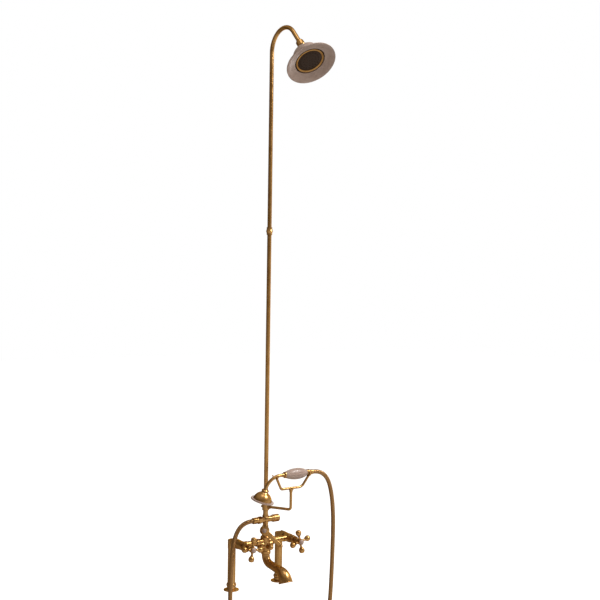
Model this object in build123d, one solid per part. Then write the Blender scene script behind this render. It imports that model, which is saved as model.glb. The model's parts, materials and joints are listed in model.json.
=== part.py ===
from build123d import *
import math
import os

# Bath shower mixer on two deck legs, in millimetres. The origin is on the deck, midway
# between the legs. +Z is up, +X is to the right of a person facing the taps, -Y is the front.

os.makedirs("parts", exist_ok=True)

# Main places. What stands on the mixer body is placed by its rise over what carries it
LEG_SPACING = 178.0
VALVE_HEIGHT = 150.0
RISER_FORWARD = 53.0
HANDLE_FORWARD = 116.0
LEVER_RISE = 40.0
LEVER_HEIGHT = VALVE_HEIGHT + LEVER_RISE
TEE_OVER_LEVER = 29.0
TEE_HEIGHT = LEVER_HEIGHT + TEE_OVER_LEVER
TEE_DROP = 9.5
TEE_RISE = 11.5
UNION_NECK_HEIGHT = 17.5
CRADLE_COLLAR_BOTTOM = TEE_HEIGHT + TEE_RISE + UNION_NECK_HEIGHT
CRADLE_ARM_OFFSET = 11.0
CRADLE_HEIGHT = CRADLE_COLLAR_BOTTOM + CRADLE_ARM_OFFSET
CRADLE_POST_RISE = 66.0
FORK_BAR_HEIGHT = CRADLE_HEIGHT + CRADLE_POST_RISE
FORK_RISE = 43.0
HANDSET_HEIGHT = FORK_BAR_HEIGHT + FORK_RISE
COUPLING_HEIGHT = 1118.0
GOOSENECK_HEIGHT = 1673.5
CRADLE_POST_X = 40.0
CRADLE_FORWARD = 131.0

# Fits and small repeated sizes
RIGHT_ANGLE = 90.0
FIT = 0.05
SEAT_GAP = 0.3
OVERRUN = 2.0
EDGE = 0.8
WATERWAY = 6.0
SPINDLE_RADIUS = 4.0

# Deck legs
LEG_RADIUS = 12.2
LEG_WALL = 2.4
ELBOW_DROP = 20.0
FLANGE_RADIUS = 24.0
FLANGE_HEIGHT = 6.0
FLANGE_RIM = 2.5
FLANGE_HUB_RADIUS = 13.8
FLANGE_HUB_HEIGHT = 12.0
BEAD_RADIUS = 15.6
BEAD_HEIGHT = 10.0

# Elbows, unions and valve bodies, measured along the valve axis from the leg
ELBOW_RADIUS = 12.8
ELBOW_RISE = 8.0
ELBOW_CROWN = 3.0
ELBOW_WALL = 4.8
ELBOW_REACH = 20.0
UNION_RADIUS = 11.0
UNION_FLATS = 28.5
UNION_START = 14.0
UNION_LENGTH = 23.0
WASHER_THICKNESS = 2.0
BARREL_RADIUS = 13.6
NECK_RADIUS = 10.8
LIP_RADIUS = 12.6
BARREL_LENGTH = 26.0
VALVE_LENGTH = 58.0
CHAMBER_RADIUS = 9.0
CHAMBER_START = 38.0
SIDE_SOCKET_RADIUS = 10.5
SIDE_SOCKET_REACH = 20.0
DISC_THICKNESS = 3.0
DISC_PORT_RADIUS = 2.0
BONNET_FLATS = 23.0
BONNET_LENGTH = 9.0
BONNET_NECK_RADIUS = 7.5
BONNET_NECK_LENGTH = 8.0
BONNET_THREAD_LENGTH = 12.0

# Cross handles
HUB_RADIUS = 9.6
HUB_BEHIND = 16.5
HUB_AHEAD = 8.0
HANDLE_REACH = 37.5
HANDLE_TIP_RADIUS = 9.0
HOT_HANDLE_TURN = -8.0
COLD_HANDLE_TURN = 14.0
BUTTON_RADIUS = 8.0
BUTTON_DOME = 5.0
BUTTON_SEAT = 2.0

# Cross tubes and mixer body
TUBE_RADIUS = 9.0
TUBE_BORE = 6.5
TUBE_NUT_RADIUS = 11.8
TUBE_NUT_LENGTH = 12.0
BODY_RADIUS = 15.0
BODY_HEIGHT = 36.0
BODY_ARM_RADIUS = 10.5
BODY_ARM_REACH = 24.0
BODY_BULB_RADIUS = 14.0
BODY_BULB_DROP = 11.0
BODY_BULB_EDGE = 4.0
BODY_COLLAR_RADIUS = 10.8
BODY_COLLAR_HEIGHT = 4.0
OUTLET_RADIUS = 13.4
OUTLET_DROP = 8.0
OUTLET_FORWARD = 57.0
BOSS_RADIUS = 7.6
BOSS_REACH = 23.0
PLUG_DROP = 12.0
PLUG_RADIUS = 7.8
PLUG_LENGTH = 17.0

# Spout, in the plane X = 0
SPOUT_RADIUS = 12.4
SPOUT_WALL = 1.8
SPOUT_BEND = 26.5
SPOUT_TURN = 82.0
SPOUT_RUN = 39.5
SPOUT_MOUTH_RADIUS = 21.0
SPOUT_LIP_RADIUS = 1.6
SPOUT_NUT_RADIUS = 15.2
SPOUT_NUT_HEIGHT = 12.0
# Bell sections past the run: forward and rise as shares of the mouth radius, heading below
# the horizontal in degrees, and radius as a share of the mouth radius
BELL_SHARES = (
    (0.80, -0.02, 16.0, 0.63),
    (1.50, -0.30, 36.0, 0.78),
    (1.96, -0.84, 55.0, 0.93),
    (2.20, -1.46, 70.0, 1.0),
)

# Lower column and diverter
COLUMN_RADIUS = 9.6
COLUMN_WAIST_RADIUS = 8.4
DIVERTER_TURN = 40.0
DIVERTER_SOCKET_RADIUS = 9.0
DIVERTER_SOCKET_REACH = 15.0
DIVERTER_SPINDLE_RADIUS = 3.5
DIVERTER_NUT_FLATS = 17.0
DIVERTER_NUT_LENGTH = 6.0
DIVERTER_THREAD_LENGTH = 5.0
LEVER_HUB_RADIUS = 15.0
LEVER_HUB_DEPTH = 8.5
LEVER_REST = -42.0
LEVER_REACH = 64.0
LEVER_WIDTH = 15.0
LEVER_TIP_WIDTH = 11.0
LEVER_THICKNESS = 5.5
LEVER_BALL_RADIUS = 5.4
LEVER_BUTTON_RADIUS = 7.2
LEVER_BUTTON_DOME = 4.0

# Tee, hose nut and knob
TEE_RADIUS = 12.0
TEE_NECK_RADIUS = 9.0
TEE_LEFT_REACH = 16.0
TEE_RIGHT_REACH = 20.0
HOSE_NUT_FLATS = 20.0
HOSE_NUT_HEX_LENGTH = 12.0
HOSE_SLEEVE_RADIUS = 9.8
HOSE_SLEEVE_END_RADIUS = 9.0
HOSE_NUT_LENGTH = 32.0
KNOB_RADIUS = 11.6
KNOB_NECK_RADIUS = 9.4
KNOB_LENGTH = 29.0

# Column above the tee, cradle and riser
UNION_NECK_RADIUS = 8.0
CRADLE_COLLAR_RADIUS = 10.8
CRADLE_COLLAR_HEIGHT = 24.0
CRADLE_BOSS_RADIUS = 6.2
CRADLE_BOSS_REACH = 16.0
CRADLE_ROD_RADIUS = 4.2
CRADLE_ROD_BEND = 8.0
CLAMP_SCREW_RADIUS = 2.5
CLAMP_SCREW_HEAD_RADIUS = 4.0
CLAMP_SCREW_HEAD = 4.0
FORK_ROD_RADIUS = 3.8
FORK_SOCKET_RADIUS = 8.6
FORK_SOCKET_HEIGHT = 12.0
FORK_LEFT_X = 3.0
FORK_RIGHT_X = 81.0
FORK_LEFT_BEND = 7.0
FORK_RIGHT_BEND = 25.0
SADDLE_LEFT_X = -14.0
SADDLE_RIGHT_X = 106.5
SADDLE_WIDTH = 6.0
SADDLE_WALL = 2.4
RISER_RADIUS = 6.6
RISER_WALL = 1.0
RISER_NUT_FLATS = 18.5
RISER_NUT_HEIGHT = 12.0
COUPLING_RADIUS = 10.6
COUPLING_END_RADIUS = 8.6
COUPLING_LENGTH = 24.0
GOOSENECK_RADIUS = 64.0
GOOSENECK_TURN = 139.0
GOOSENECK_RUN = 51.0

# Shower head, measured along its axis from the end of the arm's pipe
BALL_NUT_RADIUS = 12.0
BALL_NUT_OVERLAP = 6.0
BALL_NUT_LENGTH = 28.5
BALL_RADIUS = 8.0
BALL_FORWARD = 16.0
SEAT_RING_THICKNESS = 2.0
SEAT_RING_WIDTH = 5.0
STEM_RADIUS = 5.0
STEM_BORE = 2.5
STEM_FLANGE_RADIUS = 13.0
STEM_FLANGE_FORWARD = 30.0
HEAD_TILT = 3.0
STEM_FLANGE_THICKNESS = 4.0
STEM_END = 48.0
HEAD_RADIUS = 76.5
HEAD_DEPTH = 66.0
HEAD_WALL = 4.0
HEAD_FACE_DEPTH = 56.0
BEZEL_INNER_RADIUS = 39.5
BEZEL_THICKNESS = 6.0
PLATE_THICKNESS = 3.0
PLATE_LAND = 1.0
NOZZLE_RADIUS = 1.1
NOZZLE_RINGS = (1, 6, 12, 18)
NOZZLE_PITCH = 9.5

# Handset
GRIP_RADIUS = 17.2
GRIP_END_RADIUS = 8.6
GRIP_START_X = 17.0
GRIP_LENGTH = 81.0
GRIP_BORE = 4.4
WATER_TUBE_RADIUS = 4.3
WATER_TUBE_BORE = 3.0
FERRULE_RADIUS = 9.6
FRONT_FERRULE_LENGTH = 11.0
REAR_FERRULE_LENGTH = 5.0
NECK_PIPE_RADIUS = 5.0
NECK_BEND_X = -1.0
NECK_BEND_RADIUS = 49.0
NECK_BEND_TURN = 79.0
HANDSET_ROLL = 12.0
SPUR_TURN = 29.0
SPUR_RADIUS = 1.5
SPUR_BALL_RADIUS = 2.1
SPUR_LENGTH = 10.0
TAIL_BEAD_RADIUS = 9.4
TAIL_NUT_RADIUS = 7.6
HOSE_START_X = 122.0
BELL_RADIUS = 28.8
BELL_DEPTH = 33.0
BELL_WALL = 1.8
BELL_COLLAR_RADIUS = 11.2
BELL_COLLAR_LENGTH = 8.0
RIM_RADIUS = 36.4
RIM_DEPTH = 4.5
RIM_WIDTH = 9.0
SPRAY_THICKNESS = 2.5
SPRAY_RECESS = 1.5
SPRAY_RINGS = (1, 6, 12, 18)
SPRAY_PITCH = 7.0

# Hose: a flexible tube that hangs in a loop between the tee and the handset, down past the
# left leg, below the deck inside the bath and up again on the right
HOSE_RADIUS = 6.8
HOSE_ROUTE = (
    (-48, -53, 219),
    (-60, -53, 219),
    (-76.5, -53.5, 216),
    (-94.5, -56, 208),
    (-110, -60, 193.5),
    (-121.5, -64.5, 174),
    (-129, -68, 150),
    (-134, -70.5, 119),
    (-137.5, -72, 72),
    (-139.5, -73, -8),
    (-138, -75, -90),
    (-131, -79, -165),
    (-114, -84, -224),
    (-86, -90, -269),
    (-46, -97, -300),
    (4, -104, -313),
    (56, -111, -306),
    (104, -117, -280),
    (144, -123, -240),
    (173, -127, -188),
    (191.5, -130, -124),
    (200, -131, -45),
    (204.5, -131, 40),
    (207.5, -131, 136),
    (208, -131, 205),
    (205, -131, 254),
    (199, -131, 293),
    (190.8, -131, 323),
    (180.6, -131, 342.8),
    (167.6, -131, 356),
    (151.6, -131, 364.4),
    (135, -131, 368),
    (122, -131, 368),
)
ARC_SHARE = 0.45

# Outlines of turned shapes, as shares of their radius and of their length
HANDLE_ARM_SHARES = (
    (0.44, 0.0), (0.42, 0.30), (0.40, 0.44), (0.62, 0.545), (0.90, 0.65),
    (1.0, 0.775), (0.88, 0.90), (0.50, 0.98),
)
HUB_SHARES = (
    (0.78, 0.0), (0.86, 0.05), (0.86, 0.16), (0.70, 0.24), (0.72, 0.36),
    (0.98, 0.48), (1.0, 0.80), (0.92, 1.0),
)
GRIP_SHARES = (
    (0.0, 0.0), (0.42, 0.10), (0.82, 0.28), (1.0, 0.48), (0.94, 0.68), (0.60, 0.86), (0.0, 1.0),
)
HEAD_BACK_SHARES = (
    (0.17, 0.0), (0.36, 0.10), (0.52, 0.28), (0.60, 0.50), (0.68, 0.68), (0.84, 0.85), (1.0, 0.96),
)
HEAD_FRONT_SHARES = (
    (1.0, 1.0), (0.90, 0.975), (0.77, 0.905), (0.67, 0.86), (0.614, 0.84),
)
BELL_BACK_SHARES = (
    (0.31, 0.20), (0.44, 0.32), (0.66, 0.46), (0.84, 0.64), (0.955, 0.83), (1.0, 1.0),
)

BOTTOM = (Align.CENTER, Align.CENTER, Align.MIN)
FRONT = Vector(0, -1, 0)
RIGHT = Vector(1, 0, 0)
UP = Vector(0, 0, 1)


def save(node, shape):
    """Writes one node's solid or group of solids."""
    export_step(Compound(label=node, children=list(shape.solids())), f"parts/{node}.step")


def put(shape, origin, direction=UP, side=None):
    """Moves a shape made along +Z from zero to a place, and turns it to a direction."""
    plane = Plane(origin=origin, x_dir=side, z_dir=direction)
    return plane.location * shape


def rod(radius, length):
    return Cylinder(radius, length, align=BOTTOM)


def pipe(outer, inner, length):
    """A round pipe along +Z from zero."""
    return rod(outer, length) - rod(inner, length)


def turned(outline, bore=0, smooth=False):
    """A turned piece from its outline of (radius, height) points, with a straight bore."""
    points = [Vector(radius, 0, height) for radius, height in outline]
    low = Vector(bore, 0, points[0].Z)
    high = Vector(bore, 0, points[-1].Z)
    curve = Spline(*points) if smooth else Polyline(*points)
    edges = curve.edges() + [Line(high, low).edge()]
    if points[0].X > bore:
        edges.append(Line(low, points[0]).edge())
    if points[-1].X > bore:
        edges.append(Line(points[-1], high).edge())
    return revolve(make_face(edges), Axis.Z)


def scaled(shares, radius, length):
    """Turns share points into a real outline."""
    return [(r * radius, z * length) for r, z in shares]


def hex_nut(flats, bore, length):
    """A hexagon nut with turned-off corners."""
    corner = flats / math.sqrt(3)
    edge = (corner - flats / 2) * math.tan(math.radians(30))
    prism = extrude(RegularPolygon(corner, 6), length)
    turning = turned([(flats / 2, 0), (corner, edge), (corner, length - edge), (flats / 2, length)])
    return (prism & turning) - rod(bore, length)


def rounded_collar(radius, bore, length, edge=EDGE):
    """A plain collar with both outer edges broken."""
    outline = [(radius - edge, 0), (radius, edge), (radius, length - edge), (radius - edge, length)]
    return turned(outline, bore)


def swept_pipe(path, outer, inner=0):
    """A round bar or pipe along a path."""
    start = Plane(origin=path @ 0, z_dir=path % 0)
    solid = sweep(start * Circle(outer), path=path)
    if inner:
        solid -= sweep(start * Circle(inner), path=path)
    return solid


def sprayed(plate, rings, pitch, hole, depth):
    """Drills rings of spray holes through a plate that starts at zero height."""
    for ring, count in enumerate(rings):
        for step in range(count):
            angle = 2 * math.pi * step / count
            at = Vector(ring * pitch * math.cos(angle), ring * pitch * math.sin(angle), 0)
            plate -= put(rod(hole, depth), at)
    return plate


def domed_button(radius, seat, dome):
    """A porcelain button: a short shank that sits in its hub and a shallow dome."""
    ball = (radius ** 2 + dome ** 2) / (2 * dome)
    cap = put(Sphere(ball), (0, 0, seat + dome - ball)) & put(rod(radius, dome), (0, 0, seat))
    return rod(radius, seat) + cap


def side_x(side):
    return side * LEG_SPACING / 2


def valve_point(side, forward):
    """A point on a valve's axis, some way in front of its leg."""
    return Vector(side_x(side), -forward, VALVE_HEIGHT)


# Deck legs
def legs_and_flanges():
    leg_length = VALVE_HEIGHT - ELBOW_DROP
    flange = turned(
        [(FLANGE_RADIUS, 0), (FLANGE_RADIUS, FLANGE_RIM), (FLANGE_HUB_RADIUS, FLANGE_HEIGHT),
         (FLANGE_HUB_RADIUS, FLANGE_HUB_HEIGHT)], LEG_RADIUS + FIT)
    bead = turned(
        [(FLANGE_HUB_RADIUS, 0), (BEAD_RADIUS, BEAD_HEIGHT / 2), (FLANGE_HUB_RADIUS, BEAD_HEIGHT)],
        LEG_RADIUS + FIT, smooth=True)
    flanges = []
    beads = []
    for name, side in (("left", -1), ("right", 1)):
        foot = Vector(side_x(side), 0, 0)
        save(f"leg_{name}", put(pipe(LEG_RADIUS, LEG_RADIUS - LEG_WALL, leg_length), foot))
        flanges.append(put(flange, foot))
        beads.append(put(bead, foot + UP * FLANGE_HUB_HEIGHT))
    save("deck_flanges", Compound(children=flanges))
    save("bead_collars", Compound(children=beads))


# Elbow, union, valve body and bonnet of one tap
def elbow(side):
    top = put(rod(ELBOW_RADIUS, ELBOW_DROP + ELBOW_RISE), valve_point(side, 0) - UP * ELBOW_DROP)
    top = fillet(top.edges().sort_by(Axis.Z)[-1], ELBOW_CROWN)
    arm = put(rod(UNION_RADIUS, ELBOW_REACH), valve_point(side, 0), FRONT)
    rise = put(rod(ELBOW_RADIUS - ELBOW_WALL, ELBOW_DROP), valve_point(side, 0) - UP * ELBOW_DROP)
    run = put(rod(WATERWAY, ELBOW_REACH), valve_point(side, 0), FRONT)
    return top + arm - rise - run


def valve_body(side):
    start = ELBOW_REACH + WASHER_THICKNESS
    nut_end = UNION_START + UNION_LENGTH - start
    barrel_end = nut_end + BARREL_LENGTH
    lip_start = VALVE_LENGTH - SPINDLE_RADIUS
    neck = (barrel_end + lip_start) / 2
    shell = turned(
        [(UNION_RADIUS, 0), (UNION_RADIUS, nut_end), (BARREL_RADIUS, nut_end + OVERRUN),
         (BARREL_RADIUS, barrel_end), (NECK_RADIUS, neck), (LIP_RADIUS, lip_start),
         (LIP_RADIUS, VALVE_LENGTH)])
    shell = put(shell, valve_point(side, start), FRONT)
    shell += put(rod(SIDE_SOCKET_RADIUS, SIDE_SOCKET_REACH),
                 valve_point(side, RISER_FORWARD), RIGHT * -side)
    inlet = put(rod(WATERWAY, CHAMBER_START - start), valve_point(side, start), FRONT)
    chamber = put(rod(CHAMBER_RADIUS, start + VALVE_LENGTH - CHAMBER_START),
                  valve_point(side, CHAMBER_START), FRONT)
    port = put(rod(TUBE_BORE, SIDE_SOCKET_REACH), valve_point(side, RISER_FORWARD), RIGHT * -side)
    return shell - inlet - chamber - port


def bonnet(side):
    face = ELBOW_REACH + WASHER_THICKNESS + VALVE_LENGTH
    thread = put(rod(CHAMBER_RADIUS - FIT, BONNET_THREAD_LENGTH),
                 valve_point(side, face - BONNET_THREAD_LENGTH), FRONT)
    nut = put(hex_nut(BONNET_FLATS, SPINDLE_RADIUS, BONNET_LENGTH), valve_point(side, face), FRONT)
    neck = put(rod(BONNET_NECK_RADIUS, BONNET_NECK_LENGTH),
               valve_point(side, face + BONNET_LENGTH), FRONT)
    bore_length = BONNET_THREAD_LENGTH + BONNET_LENGTH + BONNET_NECK_LENGTH
    bore = put(rod(SPINDLE_RADIUS + FIT, bore_length),
               valve_point(side, face - BONNET_THREAD_LENGTH), FRONT)
    return thread + nut + neck - bore


def ceramic_disc(radius):
    disc = rod(radius, DISC_THICKNESS)
    for turn in (-1, 1):
        disc -= put(rod(DISC_PORT_RADIUS, DISC_THICKNESS), (turn * CHAMBER_RADIUS / 2, 0, 0))
    return disc


def taps():
    elbows = []
    unions = []
    washers = []
    seats = []
    bonnets = []
    seat_radius = CHAMBER_RADIUS - FIT
    for name, side in (("left", -1), ("right", 1)):
        elbows.append(elbow(side))
        unions.append(put(hex_nut(UNION_FLATS, UNION_RADIUS + FIT, UNION_LENGTH),
                          valve_point(side, UNION_START), FRONT))
        washers.append(put(pipe(UNION_RADIUS - FIT, WATERWAY, WASHER_THICKNESS),
                           valve_point(side, ELBOW_REACH), FRONT))
        save(f"valve_body_{name}", valve_body(side))
        seats.append(put(ceramic_disc(seat_radius), valve_point(side, CHAMBER_START), FRONT))
        bonnets.append(bonnet(side))
    save("elbows", Compound(children=elbows))
    save("bonnets", Compound(children=bonnets))
    save("union_nuts", Compound(children=unions))
    save("inlet_washers", Compound(children=washers))
    save("ceramic_seats", Compound(children=seats))


# Cross handles with their spindles and buttons
def cross_handle(turn):
    """One handle along +Z: the hub's back is at zero, and the arms stand out around it."""
    length = HUB_BEHIND + HUB_AHEAD
    handle = turned(scaled(HUB_SHARES, HUB_RADIUS, length))
    arm = turned(scaled(HANDLE_ARM_SHARES, HANDLE_TIP_RADIUS, HANDLE_REACH), smooth=True)
    for quarter in range(4):
        angle = math.radians(turn + 90 * quarter)
        handle += put(arm, (0, 0, HUB_BEHIND), Vector(math.cos(angle), math.sin(angle), 0))
    handle -= put(rod(BUTTON_RADIUS + FIT, BUTTON_SEAT), (0, 0, length - BUTTON_SEAT))
    handle -= rod(SPINDLE_RADIUS + FIT, HUB_BEHIND + SPINDLE_RADIUS)
    return handle


def handles():
    disc_at = CHAMBER_START + DISC_THICKNESS + FIT
    spindle_at = disc_at + DISC_THICKNESS
    spindle_end = HANDLE_FORWARD + SPINDLE_RADIUS / 2
    for name, side, turn in (("left", -1, HOT_HANDLE_TURN), ("right", 1, COLD_HANDLE_TURN)):
        spindle = rod(SPINDLE_RADIUS, spindle_end - spindle_at)
        spindle += turned([(CHAMBER_RADIUS - 2 * FIT, 0), (CHAMBER_RADIUS - 2 * FIT, DISC_THICKNESS),
                           (SPINDLE_RADIUS, 2 * DISC_THICKNESS)])
        save(f"spindle_{name}", put(spindle, valve_point(side, spindle_at), FRONT))
        save(f"ceramic_disc_{name}",
             put(ceramic_disc(CHAMBER_RADIUS - 2 * FIT), valve_point(side, disc_at), FRONT))
        save(f"cross_handle_{name}",
             put(cross_handle(turn), valve_point(side, HANDLE_FORWARD - HUB_BEHIND), FRONT, RIGHT))
        save(f"handle_button_{name}",
             put(domed_button(BUTTON_RADIUS, BUTTON_SEAT, BUTTON_DOME),
                 valve_point(side, HANDLE_FORWARD + HUB_AHEAD - BUTTON_SEAT), FRONT))


def riser_point(height):
    """A point on the riser's axis."""
    return Vector(0, -RISER_FORWARD, height)


# Cross tubes and mixer body
def cross_tubes():
    length = LEG_SPACING / 2 - SIDE_SOCKET_REACH - BODY_ARM_REACH
    nuts = []
    for name, side in (("left", -1), ("right", 1)):
        start = riser_point(VALVE_HEIGHT) + RIGHT * side * BODY_ARM_REACH
        save(f"cross_tube_{name}", put(pipe(TUBE_RADIUS, TUBE_BORE, length), start, RIGHT * side))
        nuts.append(put(rounded_collar(TUBE_NUT_RADIUS, TUBE_RADIUS + FIT, TUBE_NUT_LENGTH),
                        start, RIGHT * side))
    save("tube_nuts", Compound(children=nuts))


def mixer_body():
    centre = riser_point(VALVE_HEIGHT)
    outlet_top = Vector(0, -OUTLET_FORWARD, VALVE_HEIGHT)
    outlet_length = BODY_HEIGHT / 2 + OUTLET_DROP
    barrel = put(rod(BODY_RADIUS, BODY_HEIGHT), centre - UP * BODY_HEIGHT / 2)
    barrel = fillet(barrel.edges().filter_by(GeomType.CIRCLE), BODY_RADIUS / 3)
    bulb = put(rod(BODY_BULB_RADIUS, 2 * BODY_ARM_REACH),
               centre - RIGHT * BODY_ARM_REACH - UP * BODY_BULB_DROP, RIGHT)
    bulb = fillet(bulb.edges().filter_by(GeomType.CIRCLE), BODY_BULB_EDGE)
    arms = put(rod(BODY_ARM_RADIUS, 2 * BODY_ARM_REACH), centre - RIGHT * BODY_ARM_REACH, RIGHT)
    body = barrel + bulb + arms
    body += put(rod(BODY_COLLAR_RADIUS, BODY_HEIGHT / 2 + BODY_COLLAR_HEIGHT), centre)
    body += put(rod(OUTLET_RADIUS, outlet_length), outlet_top, -UP)
    plug_level = centre - UP * PLUG_DROP
    body += put(rod(BOSS_RADIUS, BOSS_REACH), plug_level, FRONT)
    body -= put(rod(TUBE_BORE, 2 * BODY_ARM_REACH), centre - RIGHT * BODY_ARM_REACH, RIGHT)
    body -= put(rod(WATERWAY, BODY_HEIGHT / 2 + BODY_COLLAR_HEIGHT), centre)
    body -= put(rod(SPOUT_RADIUS - SPOUT_WALL, outlet_length), outlet_top, -UP)
    body -= put(rod(PLUG_RADIUS / 2, BOSS_REACH), plug_level, FRONT)
    save("mixer_body", body)
    plug = rod(BOSS_RADIUS - EDGE, PLUG_LENGTH / 3)
    plug += put(Sphere(PLUG_RADIUS), (0, 0, PLUG_LENGTH - PLUG_RADIUS))
    save("body_plug", put(plug, plug_level + FRONT * BOSS_REACH, FRONT))


# Spout
def outlet_end():
    """Where the mixer body's outlet ends and the spout begins."""
    return Vector(0, -OUTLET_FORWARD, VALVE_HEIGHT - BODY_HEIGHT / 2 - OUTLET_DROP)


def spout_heading(turn):
    """The way the spout runs after it has turned some degrees forward from straight down."""
    angle = math.radians(turn)
    return FRONT * math.sin(angle) - UP * math.cos(angle)


def spout_places():
    """The spout's corners: its start, both ends and the middle of its bend, and its run's end."""
    start = outlet_end()
    bend_start = start - UP * (SPOUT_NUT_HEIGHT + EDGE)
    places = [start, bend_start]
    for turn in (SPOUT_TURN / 2, SPOUT_TURN):
        angle = math.radians(turn)
        across = FRONT * (1 - math.cos(angle))
        places.append(bend_start + across * SPOUT_BEND - UP * (SPOUT_BEND * math.sin(angle)))
    return places + [places[-1] + spout_heading(SPOUT_TURN) * SPOUT_RUN]


def spout_sections(inset):
    """Circles of the spout's bell, from the end of its straight run to its mouth."""
    run_end = spout_places()[-1]
    places = [(0, 0, RIGHT_ANGLE - SPOUT_TURN, SPOUT_RADIUS / SPOUT_MOUTH_RADIUS)] + list(BELL_SHARES)
    sections = []
    for forward, rise, dip, radius_share in places:
        origin = run_end + (FRONT * forward + UP * rise) * SPOUT_MOUTH_RADIUS
        plane = Plane(origin=origin, x_dir=RIGHT, z_dir=spout_heading(RIGHT_ANGLE - dip))
        sections.append(plane * Circle(radius_share * SPOUT_MOUTH_RADIUS - inset))
    return sections


def spout_path():
    start, bend_start, bend_middle, bend_end, run_end = spout_places()
    drop = Line(start, bend_start)
    bend = ThreePointArc(bend_start, bend_middle, bend_end)
    run = Line(bend_end, run_end)
    return Wire([drop.edge(), bend.edge(), run.edge()])


def spout():
    outside = spout_sections(0)
    mouth = Plane(outside[-1].face())
    solid = swept_pipe(spout_path(), SPOUT_RADIUS) + loft(outside)
    inner_radius = SPOUT_RADIUS - SPOUT_WALL
    solid -= swept_pipe(spout_path(), inner_radius) + loft(spout_sections(SPOUT_WALL))
    lip = Torus(SPOUT_MOUTH_RADIUS, SPOUT_LIP_RADIUS)
    solid += mouth.location * lip
    save("spout", solid)
    nut = turned([(OUTLET_RADIUS, 0), (SPOUT_NUT_RADIUS, OVERRUN), (SPOUT_NUT_RADIUS, SPOUT_NUT_HEIGHT - OVERRUN),
                  (SPOUT_RADIUS + 2 * FIT + EDGE, SPOUT_NUT_HEIGHT)], SPOUT_RADIUS + FIT)
    save("spout_nut", put(nut, outlet_end(), -UP))


# Lower column with the diverter's side socket
def diverter_out():
    turn = math.radians(DIVERTER_TURN)
    return Vector(-math.sin(turn), -math.cos(turn), 0)


def diverter_point(reach):
    return riser_point(LEVER_HEIGHT) + diverter_out() * reach


def lower_column():
    start = VALVE_HEIGHT + BODY_HEIGHT / 2 + BODY_COLLAR_HEIGHT
    length = TEE_HEIGHT - TEE_DROP - start
    waist = length * 3 / 4
    outline = [(BODY_COLLAR_RADIUS, 0), (COLUMN_RADIUS, BODY_COLLAR_HEIGHT / 2), (COLUMN_RADIUS, waist),
               (COLUMN_WAIST_RADIUS, waist + EDGE), (COLUMN_WAIST_RADIUS, length - OVERRUN),
               (COLUMN_RADIUS, length)]
    column = put(turned(outline), riser_point(start))
    column += put(rod(DIVERTER_SOCKET_RADIUS, DIVERTER_SOCKET_REACH), diverter_point(0), diverter_out())
    column -= put(rod(WATERWAY, length), riser_point(start))
    bore = DIVERTER_SPINDLE_RADIUS + SPOUT_LIP_RADIUS
    column -= put(rod(bore, DIVERTER_SOCKET_REACH), diverter_point(0), diverter_out())
    save("lower_column", column)
    thread = rod(bore - FIT, DIVERTER_THREAD_LENGTH + DIVERTER_NUT_LENGTH)
    nut = put(hex_nut(DIVERTER_NUT_FLATS, DIVERTER_SPINDLE_RADIUS, DIVERTER_NUT_LENGTH),
              (0, 0, DIVERTER_THREAD_LENGTH))
    nut = thread + nut - rod(DIVERTER_SPINDLE_RADIUS + FIT, DIVERTER_THREAD_LENGTH + DIVERTER_NUT_LENGTH)
    nut_at = diverter_point(DIVERTER_SOCKET_REACH - DIVERTER_THREAD_LENGTH)
    save("diverter_nut", put(nut, nut_at, diverter_out()))


def diverter():
    side = UP.cross(diverter_out())
    back = DIVERTER_SOCKET_REACH + DIVERTER_NUT_LENGTH + SEAT_GAP
    rest = math.radians(LEVER_REST)
    hub = turned([(LEVER_HUB_RADIUS - EDGE, 0), (LEVER_HUB_RADIUS, EDGE), (LEVER_HUB_RADIUS, LEVER_HUB_DEPTH / 2),
                  (LEVER_BUTTON_RADIUS + EDGE, LEVER_HUB_DEPTH)])
    near = Circle(LEVER_WIDTH / 2)
    far = Pos(LEVER_REACH, 0) * Circle(LEVER_TIP_WIDTH / 2)
    bar = extrude(make_hull((near + far).edges()), LEVER_THICKNESS)
    bar = fillet(bar.edges().group_by(Axis.Z)[-1], LEVER_THICKNESS / 3)
    ball_out = LEVER_REACH + LEVER_TIP_WIDTH / 2
    lever = hub + put(bar, (0, 0, EDGE))
    lever += put(Sphere(LEVER_BALL_RADIUS), (ball_out, 0, LEVER_THICKNESS / 2 + EDGE))
    lever -= put(rod(LEVER_BUTTON_RADIUS + FIT, BUTTON_SEAT), (0, 0, LEVER_HUB_DEPTH - BUTTON_SEAT))
    lever -= rod(DIVERTER_SPINDLE_RADIUS + FIT, LEVER_HUB_DEPTH / 2)
    along = side * math.cos(rest) + UP * math.sin(rest)
    save("diverter_lever", put(lever, diverter_point(back), diverter_out(), along))
    button = domed_button(LEVER_BUTTON_RADIUS, BUTTON_SEAT, LEVER_BUTTON_DOME)
    save("lever_button", put(button, diverter_point(back + LEVER_HUB_DEPTH - BUTTON_SEAT), diverter_out()))
    spindle_end = back + LEVER_HUB_DEPTH / 2 - FIT
    spindle = put(rod(DIVERTER_SPINDLE_RADIUS, spindle_end), diverter_point(0), diverter_out())
    save("diverter_spindle", spindle)


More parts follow.
